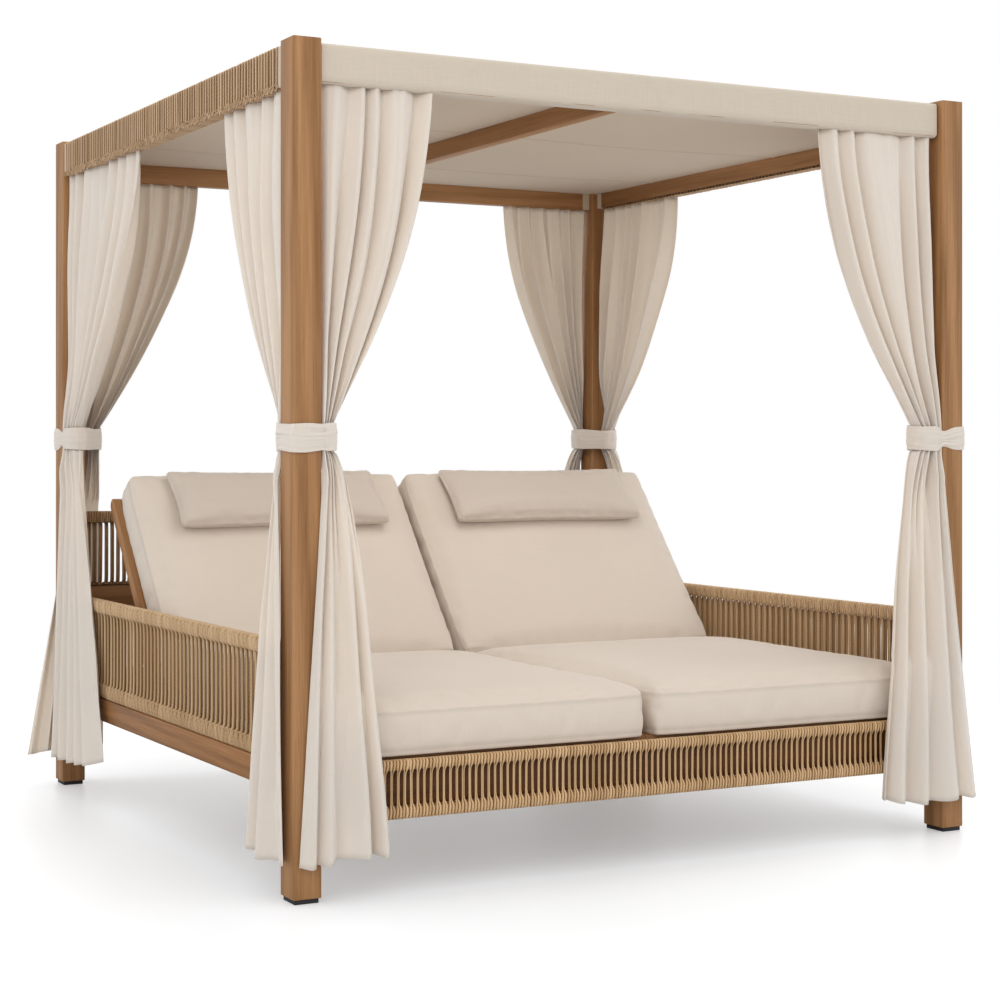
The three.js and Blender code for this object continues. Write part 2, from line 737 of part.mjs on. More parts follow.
// The two lounges
function addLounge(side, sx) {
  piece(`${side}_seat_deck`, seatDeck(sx), 'teak');
  piece(`${side}_seat_cushion`, seatCushion(sx), 'cushion');
  const rodX = [sx * (outerRailAt + sideRailThickness / 2), sx * (innerRailAt - sideRailThickness / 2)];
  piece(`${side}_hinge_rod`, rod(rodX, hingeY, axisZ, rodRadius), 'steel');
  piece(`${side}_rack_frame`, rackFrame(sx), 'teak');

  const backrest = new THREE.Group();
  backrest.position.set(0, hingeY, axisZ);
  backrest.rotation.x = restTurn;
  daybed.add(backrest);
  piece(`${side}_backrest_outer_rail`, sideRail(sx * outerRailAt), 'teak', backrest);
  piece(`${side}_backrest_inner_rail`, sideRail(sx * innerRailAt), 'teak', backrest);
  piece(`${side}_backrest_slats`, backSlatPanel(sx), 'teak', backrest);
  piece(`${side}_back_cushion`, backCushion(sx), 'cushion', backrest);
  piece(`${side}_head_pillow`, headPillow(sx), 'cushion', backrest);

  const prop = new THREE.Group();
  prop.position.set(0, propLength, 0);
  prop.rotation.x = -2 * restTurn;
  backrest.add(prop);
  piece(`${side}_prop_frame`, propFrame(sx), 'steel', prop);
}

// Curtains. Each level is a row of samples: how far along from the post, and out from the centre.
function gathered(face, bundle) {
  const round = face.size - bundleInset * 2;
  return { near: fit, far: bundle, out: face.middle, drift: 0, fold: 0, cloth: 0, round };
}

function curtainLevels({ run, topShare, lapShare, bundleShare, hemShare, outShare }, face) {
  const top = curtainTopWidth * topShare;
  const lap = curtainLap * lapShare;
  const bundle = bundleWidth * bundleShare;
  const bandTop = tieHeight + tieBand / 2;
  const bandBottom = tieHeight - tieBand / 2;
  const hemReach = (run === 'x' ? frontHemReach : sideHemReach) * hemShare;
  const outside = (fold, cloth) => face.outer + curtainClearance + fold + cloth / 2;
  const levels = upperShares.map(share => ({
    z: mix(face.top, bandTop, share),
    near: mix(curtainTopGap, fit, share),
    far: bundle + (curtainTopGap + top - bundle) * (1 - share ** swagPower),
    out: mix(face.beam, face.middle, share),
    drift: 0,
    fold: mix(foldTop, foldMiddle, share),
    cloth: mix(clothThickness, clothThicknessGathered, share),
    round: 0,
  }));
  levels.push({ z: bandTop, ...gathered(face, bundle) }, { z: bandBottom, ...gathered(face, bundle) });
  lowerShares.forEach((share, i) => {
    const fold = mix(foldMiddle, foldHem, share);
    const cloth = mix(clothThicknessGathered, clothThickness, share);
    const farOut = mix(face.middle, outside(fold, cloth), i > 0 ? 1 : outShare);
    const out = lap > 0 ? outside(fold, cloth) : farOut;
    levels.push({
      z: mix(bandBottom, hemHeight, share),
      near: i > 0 ? -lap * share : fit,
      far: bundle + (hemReach - bundle) * share ** flarePower,
      out,
      drift: farOut - out,
      fold,
      cloth,
      round: 0,
    });
  });
  return levels;
}

function postFace(run, sy) {
  if (run === 'x') {
    return {
      inner: postInnerX, outer: halfDepth, size: postDepth, middle: (halfDepth + postInnerY) / 2,
      beam: (endBeamInner + endBeamOuter) / 2,
      top: (sy < 0 ? frontBeamBottom - fabricThickness : backBeamBottom) - fit,
    };
  }
  return {
    inner: postInnerY, outer: halfWidth, size: postWidth, middle: (halfWidth + postInnerX) / 2,
    beam: (sideBeamInner + sideBeamOuter) / 2, top: roofRopeBottom - fit,
  };
}

// Outer and inner points of one level, as distances from the daybed's centre
function curtainRow(level, face, folds) {
  const count = folds * samplesPerFold + 1;
  return Array.from({ length: count }, (_, i) => {
    const share = i / (count - 1);
    const along = face.inner - mix(level.near, level.far, share);
    const wave = level.fold * Math.sin(Math.PI * 2 * folds * share);
    const bundle = level.round * Math.sqrt(1 - (2 * share - 1) ** 2 * (1 - fit * fit));
    const half = (level.cloth + bundle) / 2;
    const out = level.out + level.drift * share ** 3 + wave;
    return { along, outer: out + half, inner: out - half };
  });
}

const foldCount = run => (run === 'x' ? frontFolds : sideFolds);

function curtain(spec) {
  const face = postFace(spec.run, spec.sy);
  const folds = foldCount(spec.run);
  const rows = curtainLevels(spec, face).map(level => {
    const row = curtainRow(level, face, folds);
    const loop = [...row.map(s => [s.along, s.outer]), ...row.reverse().map(s => [s.along, s.inner])];
    return loop.map(([along, out]) => (spec.run === 'x' ? [along, out, level.z] : [out, along, level.z]));
  });
  const ring = rows[0].length;
  const indices = [];
  for (let level = 0; level < rows.length - 1; level += 1) {
    for (let i = 0; i < ring; i += 1) {
      const next = (i + 1) % ring;
      const [a, b] = [level * ring + i, level * ring + next];
      indices.push(a, b, b + ring, a, b + ring, a + ring);
    }
  }
  const last = (rows.length - 1) * ring;
  for (let i = 0; i < ring / 2 - 1; i += 1) {
    const across = ring - 1 - i;
    indices.push(i, across, i + 1, i + 1, across, across - 1);
    indices.push(last + i, last + i + 1, last + across, last + i + 1, last + across - 1, last + across);
  }
  const geometry = new THREE.BufferGeometry();
  geometry.setAttribute('position', new THREE.Float32BufferAttribute(rows.flat(2), 3));
  geometry.setIndex(indices);
  if (spec.run === 'x') turnFaces(geometry);
  return mirrored(geometry, spec.sx, spec.sy);
}

// The convex outline round a set of points
function hull(points) {
  const order = [...points].sort((p, q) => p[0] - q[0] || p[1] - q[1]);
  const turn = (o, p, q) => (p[0] - o[0]) * (q[1] - o[1]) - (p[1] - o[1]) * (q[0] - o[0]);
  const chain = list => list.reduce((kept, point) => {
    while (kept.length > 1 && turn(kept.at(-2), kept.at(-1), point) <= 0) kept.pop();
    return [...kept, point];
  }, []);
  return [...chain(order).slice(0, -1), ...chain(order.reverse()).slice(0, -1)];
}

// A tieback runs round the post and the two gathered curtains beside it
function tieback(sx, sy) {
  const posts = [postInnerX, halfWidth].flatMap(x => [[x, postInnerY], [x, halfDepth]]);
  const bundles = ['x', 'y'].flatMap(run => {
    const face = postFace(run, sy);
    const { bundleShare } = curtains.find(spec => spec.run === run && spec.sx === sx && spec.sy === sy);
    const row = curtainRow(gathered(face, bundleWidth * bundleShare), face, foldCount(run));
    const points = row.flatMap(({ along, outer, inner }) => [[along, outer], [along, inner]]);
    return run === 'x' ? points : points.map(([along, across]) => [across, along]);
  });
  const grown = size => hull([...posts, ...bundles].flatMap(([x, y]) => (
    [[-1, -1], [-1, 1], [1, -1], [1, 1]].map(([dx, dy]) => [x + dx * size, y + dy * size]))));
  const band = outline(grown(tieClearance + tieThickness));
  band.holes.push(outline(grown(tieClearance)));
  const zs = [tieHeight - tieBand / 2, tieHeight + tieBand / 2];
  return mirrored(alongZ(band, zs), sx, sy);
}

function addCurtains() {
  for (const spec of curtains) {
    piece(spec.name, curtain(spec), 'voile');
  }
  for (const [row, sy] of [['front', -1], ['back', 1]]) {
    for (const [side, sx] of [['left', -1], ['right', 1]]) {
      piece(`${row}_${side}_tieback`, tieback(sx, sy), 'voile');
    }
  }
}

addPosts();
addRoofFrame();
addCanopy();
addLining();
addRoofRopes();
addRails();
addRopePanels();
addLounge('left', -1);
addLounge('right', 1);
addCurtains();

export default daybed;
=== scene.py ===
"""Looks of the outdoor daybed with a canopy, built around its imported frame.

Lengths are in metres, in the frame's own axes: X along the front, Y towards the head, Z up.
"""

import json
import logging
import math
from dataclasses import dataclass, field
from enum import Enum
from itertools import product
from typing import Any, Callable, ClassVar, Sequence, Union

import bpy
import numpy as np
from mathutils import Matrix, Vector


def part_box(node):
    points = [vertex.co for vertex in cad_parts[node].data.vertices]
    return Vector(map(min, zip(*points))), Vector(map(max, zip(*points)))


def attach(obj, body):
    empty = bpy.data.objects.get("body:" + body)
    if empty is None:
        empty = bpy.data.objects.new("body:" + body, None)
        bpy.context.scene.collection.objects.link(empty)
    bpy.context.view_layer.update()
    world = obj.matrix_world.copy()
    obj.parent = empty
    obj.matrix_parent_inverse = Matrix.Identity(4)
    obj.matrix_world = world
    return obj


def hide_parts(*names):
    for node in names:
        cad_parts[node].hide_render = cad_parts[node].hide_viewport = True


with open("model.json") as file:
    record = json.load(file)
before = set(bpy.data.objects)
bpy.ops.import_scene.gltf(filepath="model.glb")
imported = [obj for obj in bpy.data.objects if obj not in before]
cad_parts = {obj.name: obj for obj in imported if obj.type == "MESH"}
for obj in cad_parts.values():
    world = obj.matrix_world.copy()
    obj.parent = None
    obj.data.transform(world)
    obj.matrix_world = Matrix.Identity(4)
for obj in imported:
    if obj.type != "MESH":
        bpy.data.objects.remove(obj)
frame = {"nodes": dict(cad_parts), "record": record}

LOG = logging.getLogger("daybed")
MM = 0.001

Colour = tuple[float, float, float]
Point = tuple[float, float, float]
Number = Union[float, np.ndarray]
Tree = bpy.types.NodeTree
Socket = bpy.types.NodeSocket
Value = Union[float, bpy.types.NodeSocket]

SIDES = {"left": -1, "right": 1}
ROWS = {"front": -1, "back": 1}


def srgb(red: int, green: int, blue: int) -> Colour:
    """Turns a colour of 0 to 255 into Blender's linear values.

    Args:
        red: The share of red.
        green: The share of green.
        blue: The share of blue.

    Returns:
        The linear colour.
    """
    shares = (channel / 255 for channel in (red, green, blue))
    return tuple(s / 12.92 if s <= 0.04045 else ((s + 0.055) / 1.055) ** 2.4 for s in shares)


def mix(low: Number, high: Number, share: Number) -> Number:
    """Gives the value a share of the way from low to high."""
    return low + (high - low) * share


def smoothstep(share: Number) -> Number:
    """Eases a share of 0 to 1 in and out, and holds it at its ends."""
    held = np.clip(share, 0.0, 1.0)
    return held * held * (3 - 2 * held)


# ---- operators -------------------------------------------------------------------------------


def select_only(piece: bpy.types.Object) -> None:
    """Deselects all, then selects one object and makes it active.

    Args:
        piece: The object.
    """
    bpy.ops.object.select_all(action="DESELECT")
    piece.select_set(True)
    bpy.context.view_layer.objects.active = piece


def apply_modifiers(piece: bpy.types.Object) -> None:
    """Applies every modifier of a piece in order.

    Args:
        piece: The piece.
    """
    select_only(piece)
    for modifier in list(piece.modifiers):
        bpy.ops.object.modifier_apply(modifier=modifier.name)


def smooth(piece: bpy.types.Object, degrees: float = 35) -> None:
    """Shades a piece smooth, except across edges sharper than so many degrees."""
    select_only(piece)
    bpy.ops.object.shade_smooth_by_angle(angle=math.radians(degrees))


def bevel(piece: bpy.types.Object, width: float, segments: int = 2, degrees: float = 30) -> None:
    """Rounds the sharp edges of a piece and applies the rounding.

    Args:
        piece: The piece to round.
        width: How far from an edge the rounding starts.
        segments: How many faces go round an edge.
        degrees: How sharp an edge has to be.
    """
    modifier = piece.modifiers.new("rounded_edges", "BEVEL")
    modifier.width = width
    modifier.segments = segments
    modifier.limit_method = "ANGLE"
    modifier.angle_limit = math.radians(degrees)
    apply_modifiers(piece)


def thicken(piece: bpy.types.Object, thickness: float, offset: float = 0.0) -> None:
    """Gives an open sheet its cloth thickness and applies it.

    Args:
        piece: The sheet.
        thickness: How thick the cloth is.
        offset: Which side it grows to, from -1 for the inside to 1 for the outside.
    """
    modifier = piece.modifiers.new("cloth_thickness", "SOLIDIFY")
    modifier.thickness = thickness
    modifier.offset = offset
    apply_modifiers(piece)


def mesh_piece(name: str, points: np.ndarray, faces: Sequence[Sequence[int]]) -> bpy.types.Object:
    """Makes a piece from points and faces.

    Args:
        name: The piece's name.
        points: One row of X, Y and Z for each point.
        faces: Point numbers of each face, counter-clockwise seen from outside.

    Returns:
        The new object, at the origin.
    """
    mesh = bpy.data.meshes.new(name)
    mesh.from_pydata(np.asarray(points).tolist(), [], [list(map(int, face)) for face in faces])
    mesh.update()
    piece = bpy.data.objects.new(name, mesh)
    bpy.context.scene.collection.objects.link(piece)
    return piece


def block(name: str, centre: Sequence[float], size: Sequence[float]) -> bpy.types.Object:
    """Adds a box to shape further.

    Args:
        name: The piece's name.
        centre: The box's middle.
        size: Its length along each axis.

    Returns:
        The new object, at the origin and unscaled.
    """
    bpy.ops.object.select_all(action="DESELECT")
    bpy.ops.mesh.primitive_cube_add(size=1, location=centre)
    piece = bpy.context.object
    piece.name = name
    piece.scale = size
    bpy.ops.object.transform_apply(location=True, rotation=False, scale=True)
    return piece


def numbered(rows: int, columns: int) -> np.ndarray:
    """Numbers the points of a sheet row by row."""
    return np.arange(rows * columns).reshape(rows, columns)


def quads(number: np.ndarray, rows_first: bool = True) -> np.ndarray:
    """Gives the faces between rows and columns of points.

    Args:
        number: The points' numbers by row and column.
        rows_first: Whether each face runs down the rows before it runs across.

    Returns:
        Four point numbers for each face.
    """
    start, across, beyond, down = number[:-1, :-1], number[:-1, 1:], number[1:, 1:], number[1:, :-1]
    corners = [start, down, beyond, across] if rows_first else [start, across, beyond, down]
    return np.stack(corners, axis=-1).reshape(-1, 4)


def store(piece: bpy.types.Object, name: str, values: np.ndarray) -> None:
    """Keeps a number or a vector at each point of a piece, for its material.

    Args:
        piece: The piece.
        name: The name that its material reads.
        values: One number or one row of three for each point.
    """
    kind = "FLOAT" if values.ndim == 1 else "FLOAT_VECTOR"
    key = "value" if values.ndim == 1 else "vector"
    attribute = piece.data.attributes.new(name, kind, "POINT")
    attribute.data.foreach_set(key, np.asarray(values, dtype=np.float32).ravel())


def points_of(piece: bpy.types.Object) -> np.ndarray:
    """Reads the points of a piece.

    Args:
        piece: The piece.

    Returns:
        One row of X, Y and Z for each point.
    """
    points = np.empty(len(piece.data.vertices) * 3)
    piece.data.vertices.foreach_get("co", points)
    return points.reshape(-1, 3)


def unwrap(piece: bpy.types.Object, uv: np.ndarray) -> None:
    """Gives a piece the cloth's own coordinates.

    Args:
        piece: The cloth.
        uv: Metres across and along the cloth, one row for each point.
    """
    layer = piece.data.uv_layers.new(name="cut")
    corners = np.empty(len(piece.data.loops), dtype=int)
    piece.data.loops.foreach_get("vertex_index", corners)
    layer.data.foreach_set("uv", uv[corners].astype(np.float32).ravel())


def move_points(piece: bpy.types.Object, points: np.ndarray) -> None:
    """Writes new places for the points of a piece's mesh."""
    piece.data.vertices.foreach_set("co", np.asarray(points).ravel())
    piece.data.update()


# ---- node trees ------------------------------------------------------------------------------


def plug(tree: Tree, value: Any, socket: Socket) -> None:
    """Joins an input to what feeds it, or sets it.

    Args:
        tree: The material's or group's tree.
        value: An output socket, or a plain value.
        socket: The input.
    """
    if isinstance(value, bpy.types.NodeSocket):
        tree.links.new(value, socket)
    else:
        socket.default_value = (*value[:3], 1.0) if socket.type == "RGBA" else value


def add(tree: Tree, kind: str, inputs: dict | None = None, **settings: Any) -> bpy.types.Node:
    """Adds a node to a tree.

    Args:
        tree: The material's or group's tree.
        kind: Blender's name for the node type.
        inputs: Values or output sockets for the node's inputs, by name or number.
        settings: The node's own properties.

    Returns:
        The new node.
    """
    node = tree.nodes.new(kind)
    for name, value in settings.items():
        setattr(node, name, value)
    for key, value in (inputs or {}).items():
        plug(tree, value, node.inputs[key])
    return node


def maths(tree: Tree, operation: str, *values: Value) -> Socket:
    """Adds a Math node and gives its output."""
    return add(tree, "ShaderNodeMath", dict(enumerate(values)), operation=operation).outputs[0]


def scaled(tree: Tree, vector: Socket, by: Point) -> Socket:
    """Multiplies a vector by another, axis by axis."""
    return add(tree, "ShaderNodeVectorMath", {0: vector, 1: by}, operation="MULTIPLY").outputs[0]


def noise(tree: Tree, vector: Socket, scale: float, detail: float = 2.0) -> Socket:
    """Adds a noise texture and gives its value."""
    inputs = {"Vector": vector, "Scale": scale, "Detail": detail, "Roughness": 0.55}
    return add(tree, "ShaderNodeTexNoise", inputs).outputs[0]


def blend_colours(tree: Tree, share: Value, first: Any, second: Any, kind: str = "MIX") -> Socket:
    """Mixes two colours, each a colour or an output socket, and gives the result."""
    inputs = {"Factor": share, 6: first, 7: second}
    return add(tree, "ShaderNodeMix", inputs, data_type="RGBA", blend_type=kind).outputs[2]


def ranged(tree: Tree, value: Socket, low: float, high: float, start: float = 0.0,
           end: float = 1.0) -> Socket:
    """Maps a value from one range to another and holds it there."""
    inputs = {"Value": value, "From Min": low, "From Max": high, "To Min": start, "To Max": end}
    return add(tree, "ShaderNodeMapRange", inputs, clamp=True).outputs[0]


class Effect:
    """A shader node group that several materials share."""

    def __init__(self, name: str, inputs: dict[str, str], outputs: dict[str, str]) -> None:
        """Makes the group's tree and its sockets.

        Args:
            name: The group's name.
            inputs: Socket type of each input, by name.
            outputs: Socket type of each output, by name.
        """
        self.tree = bpy.data.node_groups.new(name, "ShaderNodeTree")
        for direction, sockets in (("INPUT", inputs), ("OUTPUT", outputs)):
            for socket, kind in sockets.items():
                self.tree.interface.new_socket(name=socket, in_out=direction, socket_type=kind)
        self.given = self.tree.nodes.new("NodeGroupInput").outputs
        self.result = self.tree.nodes.new("NodeGroupOutput").inputs

    def put(self, **outputs: Socket) -> None:
        """Joins the group's outputs to what makes them."""
        for name, socket in outputs.items():
            self.tree.links.new(socket, self.result[name])

    def use(self, tree: Tree, **inputs: Any) -> dict[str, Socket]:
        """Places the group in a material's tree and gives its outputs by name."""
        outputs = add(tree, "ShaderNodeGroup", inputs, node_tree=self.tree).outputs
        return {output.name: output for output in outputs}


VECTOR, COLOUR, NUMBER = "NodeSocketVector", "NodeSocketColor", "NodeSocketFloat"
YARNS = 3
YARN_PITCH = 11 * MM


def grain_effect() -> Effect:
    """Builds straight timber grain along Z: soft figure, fibres and short dark pores.

    Returns:
        The node group.
    """
    effect = Effect("timber_grain", {"Vector": VECTOR, "Dark": COLOUR, "Light": COLOUR},
                    {"Colour": COLOUR, "Roughness": NUMBER, "Height": NUMBER})
    tree, given = effect.tree, effect.given

    def drawn_out(share: float) -> Socket:
        """Stretches the pattern along the grain."""
        return scaled(tree, given["Vector"], (1, 1, share))

    long = drawn_out(0.05)
    figure = noise(tree, long, 16, 4)
    bands = {"Vector": long, "Scale": 7, "Distortion": 9, "Detail": 3, "Detail Scale": 1.6}
    wave = add(tree, "ShaderNodeTexWave", bands, bands_direction="DIAGONAL").outputs[1]
    fibre = noise(tree, drawn_out(0.02), 240, 3)
    pore = ranged(tree, noise(tree, drawn_out(0.03), 620, 1), 0.62, 0.72)
    patch = noise(tree, drawn_out(0.35), 3.2, 2)
    share = maths(tree, "MULTIPLY_ADD", figure, 0.50, maths(tree, "MULTIPLY", wave, 0.20))
    share = maths(tree, "MULTIPLY_ADD", fibre, 0.42, share)
    share = maths(tree, "MULTIPLY_ADD", patch, 0.30, share)
    tone = blend_colours(tree, ranged(tree, share, 0.46, 0.98), given["Dark"], given["Light"])
    pored = blend_colours(tree, maths(tree, "MULTIPLY", pore, 0.35), tone, given["Dark"])
    effect.put(Colour=pored, Roughness=ranged(tree, fibre, 0.2, 0.8, 0.62, 0.48),
               Height=maths(tree, "MULTIPLY_ADD", pore, -0.6, fibre))
    return effect


def weave_effect() -> Effect:
    """Builds plain woven cloth: crossing threads of a given pitch, with slubs along them.

    Returns:
        The node group.
    """
    effect = Effect("plain_weave",
                    {"Vector": VECTOR, "Threads": NUMBER, "Base": COLOUR, "Slub": NUMBER},
                    {"Colour": COLOUR, "Height": NUMBER})
    tree, given = effect.tree, effect.given
    parts = add(tree, "ShaderNodeSeparateXYZ", {0: given["Vector"]}).outputs
    turns = maths(tree, "MULTIPLY", given["Threads"], 2 * math.pi)
    height = 0.0
    for axis in range(3):
        wave = maths(tree, "SINE", maths(tree, "MULTIPLY", parts[axis], turns))
        height = maths(tree, "MULTIPLY_ADD", wave, 0.3, height)
    slub = 0.0
    for stretch in ((14, 420, 420), (420, 14, 420), (420, 420, 14)):
        thread = noise(tree, scaled(tree, given["Vector"], stretch), 1, 1)
        slub = maths(tree, "MULTIPLY_ADD", thread, 0.34, slub)
    cloud = noise(tree, given["Vector"], 2.6, 3)
    tone = maths(tree, "MULTIPLY_ADD", maths(tree, "SUBTRACT", slub, 0.5), given["Slub"], 1.0)
    tone = maths(tree, "MULTIPLY_ADD", maths(tree, "SUBTRACT", cloud, 0.5), 0.07, tone)
    grey = add(tree, "ShaderNodeCombineXYZ", {0: tone, 1: tone, 2: tone}).outputs[0]
    effect.put(Colour=blend_colours(tree, 1.0, given["Base"], grey, "MULTIPLY"),
               Height=maths(tree, "MULTIPLY_ADD", slub, 1.5, height))
    return effect


def lay_effect() -> Effect:
    """Builds laid rope: slanting yarns round it, a tone of its own for each length of rope, and
    painted shade.

    Returns:
        The node group.
    """
    effect = Effect("rope_lay", {"Around": VECTOR, "Tone": NUMBER, "Base": COLOUR},
                    {"Colour": COLOUR, "Height": NUMBER})
    tree, given = effect.tree, effect.given
    parts = add(tree, "ShaderNodeSeparateXYZ", {0: given["Around"]}).outputs
    angle = maths(tree, "ARCTAN2", parts[1], parts[0])
    turn = maths(tree, "MULTIPLY", angle, YARNS)
    phase = maths(tree, "MULTIPLY_ADD", parts[2], 2 * math.pi / YARN_PITCH, turn)
    yarn = maths(tree, "MULTIPLY_ADD", maths(tree, "SINE", phase), 0.5, 0.5)
    # painted shade on each rope's sides, where it faces the ropes beside it
    beside = maths(tree, "POWER", maths(tree, "ABSOLUTE", parts[1]), 2.2)
    # the yarns' valleys are painted darker, as painted shade
    shade = maths(tree, "MULTIPLY_ADD", yarn, 0.14, 1.0)
    shade = maths(tree, "MULTIPLY_ADD", beside, -0.62, shade)
    # the Tone input holds each rope's random tone, with the rope work's painted shade added to it
    shade = maths(tree, "MULTIPLY_ADD", maths(tree, "SUBTRACT", given["Tone"], 0.5), 0.34, shade)
    shade = maths(tree, "MAXIMUM", shade, 0.05)
    # painted shade turns browner as it darkens
    green, blue = (maths(tree, "POWER", shade, power) for power in (1.22, 1.55))
    warm = add(tree, "ShaderNodeCombineXYZ", {0: shade, 1: green, 2: blue}).outputs[0]
    effect.put(Colour=blend_colours(tree, 1.0, given["Base"], warm, "MULTIPLY"), Height=yarn)
    return effect


class Effects:
    """The node groups, each built once when a material first asks for it."""

    _built: dict[str, Effect] = {}
    _makers: dict[str, Callable[[], Effect]] = {
        "grain": grain_effect, "weave": weave_effect, "lay": lay_effect}

    @classmethod
    def get(cls, name: str) -> Effect:
        """Gives a node group.

        Args:
            name: Its short name.

        Returns:
            The node group, new or built before.
        """
        if name not in cls._built:
            cls._built[name] = cls._makers[name]()
        return cls._built[name]


# ---- finishes --------------------------------------------------------------------------------


class Run(Enum):
    """The way that a timber's grain runs, as the turn that brings it upright."""

    UPRIGHT = (0.0, 0.0, 0.0)
    ALONG_X = (0.0, 90.0, 0.0)
    ALONG_Y = (90.0, 0.0, 0.0)
    RECLINED = (40.0, 0.0, 0.0)


class Lie(Enum):
    """Where a cloth's threads are read from."""

    OBJECT = "Object"
    CUT = "UV"


def bump(tree: Tree, height: Socket, strength: float, distance: float) -> Socket:
    """Turns a height into a normal."""
    inputs = {"Height": height, "Strength": strength, "Distance": distance}
    return add(tree, "ShaderNodeBump", inputs).outputs[0]


def object_place(tree: Tree) -> Socket:
    """Gives the place on a piece, in its own axes."""
    return add(tree, "ShaderNodeTexCoord").outputs["Object"]


class Finish:
    """What every finish does: it builds its material when a piece first wears it."""

    name: str

    def label(self) -> str:
        """Names the finish's material."""
        return self.name

    def material(self) -> bpy.types.Material:
        """Gives the finish's material.

        Returns:
            The material, new or built before.
        """
        name = self.label()
        if name not in bpy.data.materials:
            material = bpy.data.materials.new(name)
            material.use_nodes = True
            tree = material.node_tree
            feeds = self.feeds(tree)
            for socket, value in feeds.items():
                plug(tree, value, tree.nodes["Principled BSDF"].inputs[socket])
        return bpy.data.materials[name]

    def feeds(self, tree: Tree) -> dict[str, Any]:
        """Gives what each input of the Principled shader gets."""
        raise NotImplementedError


@dataclass(frozen=True)
class Timber(Finish):
    """Oiled teak with its grain along a run."""

    run: Run
    light: Colour = srgb(186, 138, 92)
    dark: Colour = srgb(126, 84, 44)
    name: str = "teak"

    def label(self) -> str:
        """Names the finish's material, one for each run."""
        return f"{self.name}_{self.run.name.lower()}"

    def feeds(self, tree: Tree) -> dict[str, Any]:
        """Gives what each input of the Principled shader gets.

        Args:
            tree: The material's nodes.

        Returns:
            A value or a socket for each input, by name.
        """
        turn = tuple(math.radians(angle) for angle in self.run.value)
        place = {"Vector": object_place(tree), "Rotation": turn}
        upright = add(tree, "ShaderNodeMapping", place).outputs[0]
        grain = Effects.get("grain").use(tree, Vector=upright, Dark=self.dark, Light=self.light)
        return {"Base Color": grain["Colour"], "Roughness": grain["Roughness"],
                "Normal": bump(tree, grain["Height"], 0.25, 0.0006), "Specular IOR Level": 0.35}


@dataclass(frozen=True)
class Cloth(Finish):
    """Woven cloth in one colour, with painted shade along its seams where asked."""

    name: str
    base: Colour
    threads: float
    lie: Lie = Lie.OBJECT
    slub: float = 0.16
    sheen: float = 0.25
    seam_painted_shade: float = 0.0
    glow: float = 0.0

    def feeds(self, tree: Tree) -> dict[str, Any]:
        """Gives what each input of the Principled shader gets.

        Args:
            tree: The material's nodes.

        Returns:
            A value or a socket for each input, by name.
        """
        place = add(tree, "ShaderNodeTexCoord").outputs[self.lie.value]
        weave = Effects.get("weave").use(tree, Vector=place, Threads=self.threads, Base=self.base,
                                         Slub=self.slub)
        colour = weave["Colour"]
        # painted shade along the seams: the cloth darkens towards 0.6 of its colour there
        if self.seam_painted_shade:
            seam = add(tree, "ShaderNodeAttribute", attribute_name="seam").outputs["Fac"]
            colour = blend_colours(tree, maths(tree, "MULTIPLY", seam, self.seam_painted_shade), colour,
                                   tuple(channel * 0.6 for channel in self.base))
        return {"Base Color": colour, "Normal": bump(tree, weave["Height"], 0.25, 0.0004),
                "Roughness": 0.92, "Specular IOR Level": 0.25,
                "Sheen Weight": self.sheen, "Sheen Roughness": 0.5, "Subsurface Weight": self.glow,
                "Subsurface Radius": (1.0, 0.92, 0.82), "Subsurface Scale": 0.006}


@dataclass(frozen=True)
class Rope(Finish):
    """Laid outdoor rope in one colour."""

    name: str
    base: Colour

    def feeds(self, tree: Tree) -> dict[str, Any]:
        """Gives what each input of the Principled shader gets.

        Args:
            tree: The material's nodes.

        Returns:
            A value or a socket for each input, by name.
        """
        around = add(tree, "ShaderNodeAttribute", attribute_name="around").outputs["Vector"]
        tone = add(tree, "ShaderNodeAttribute", attribute_name="tone").outputs["Fac"]
        lay = Effects.get("lay").use(tree, Around=around, Tone=tone, Base=self.base)
        return {"Base Color": lay["Colour"], "Normal": bump(tree, lay["Height"], 0.5, 0.0008),
                "Roughness": 0.85, "Specular IOR Level": 0.25}


@dataclass(frozen=True)
class Hard(Finish):
    """A plain hard finish with a faintly uneven surface."""

    name: str
    base: Colour
    roughness: float
    metal: float

    def feeds(self, tree: Tree) -> dict[str, Any]:
        """Gives what each input of the Principled shader gets.

        Args:
            tree: The material's nodes.

        Returns:
            A value or a socket for each input, by name.
        """
        brushed = noise(tree, scaled(tree, object_place(tree), (12, 260, 260)), 4, 3)
        tone = ranged(tree, brushed, 0.3, 0.7, 0.0, 0.25)
        darker = tuple(channel * 0.7 for channel in self.base)
        rough = ranged(tree, brushed, 0.3, 0.7, self.roughness * 0.85, self.roughness * 1.15)
        return {"Base Color": blend_colours(tree, tone, self.base, darker), "Roughness": rough,
                "Normal": bump(tree, brushed, 0.1, 0.0004), "Metallic": self.metal}


# a darker copy of the teak for the side bed rails, as painted shade
PAINTED_SHADE_RAIL_TEAK = Timber(Run.ALONG_Y, srgb(173, 121, 71), srgb(117, 74, 34), "rail_teak")
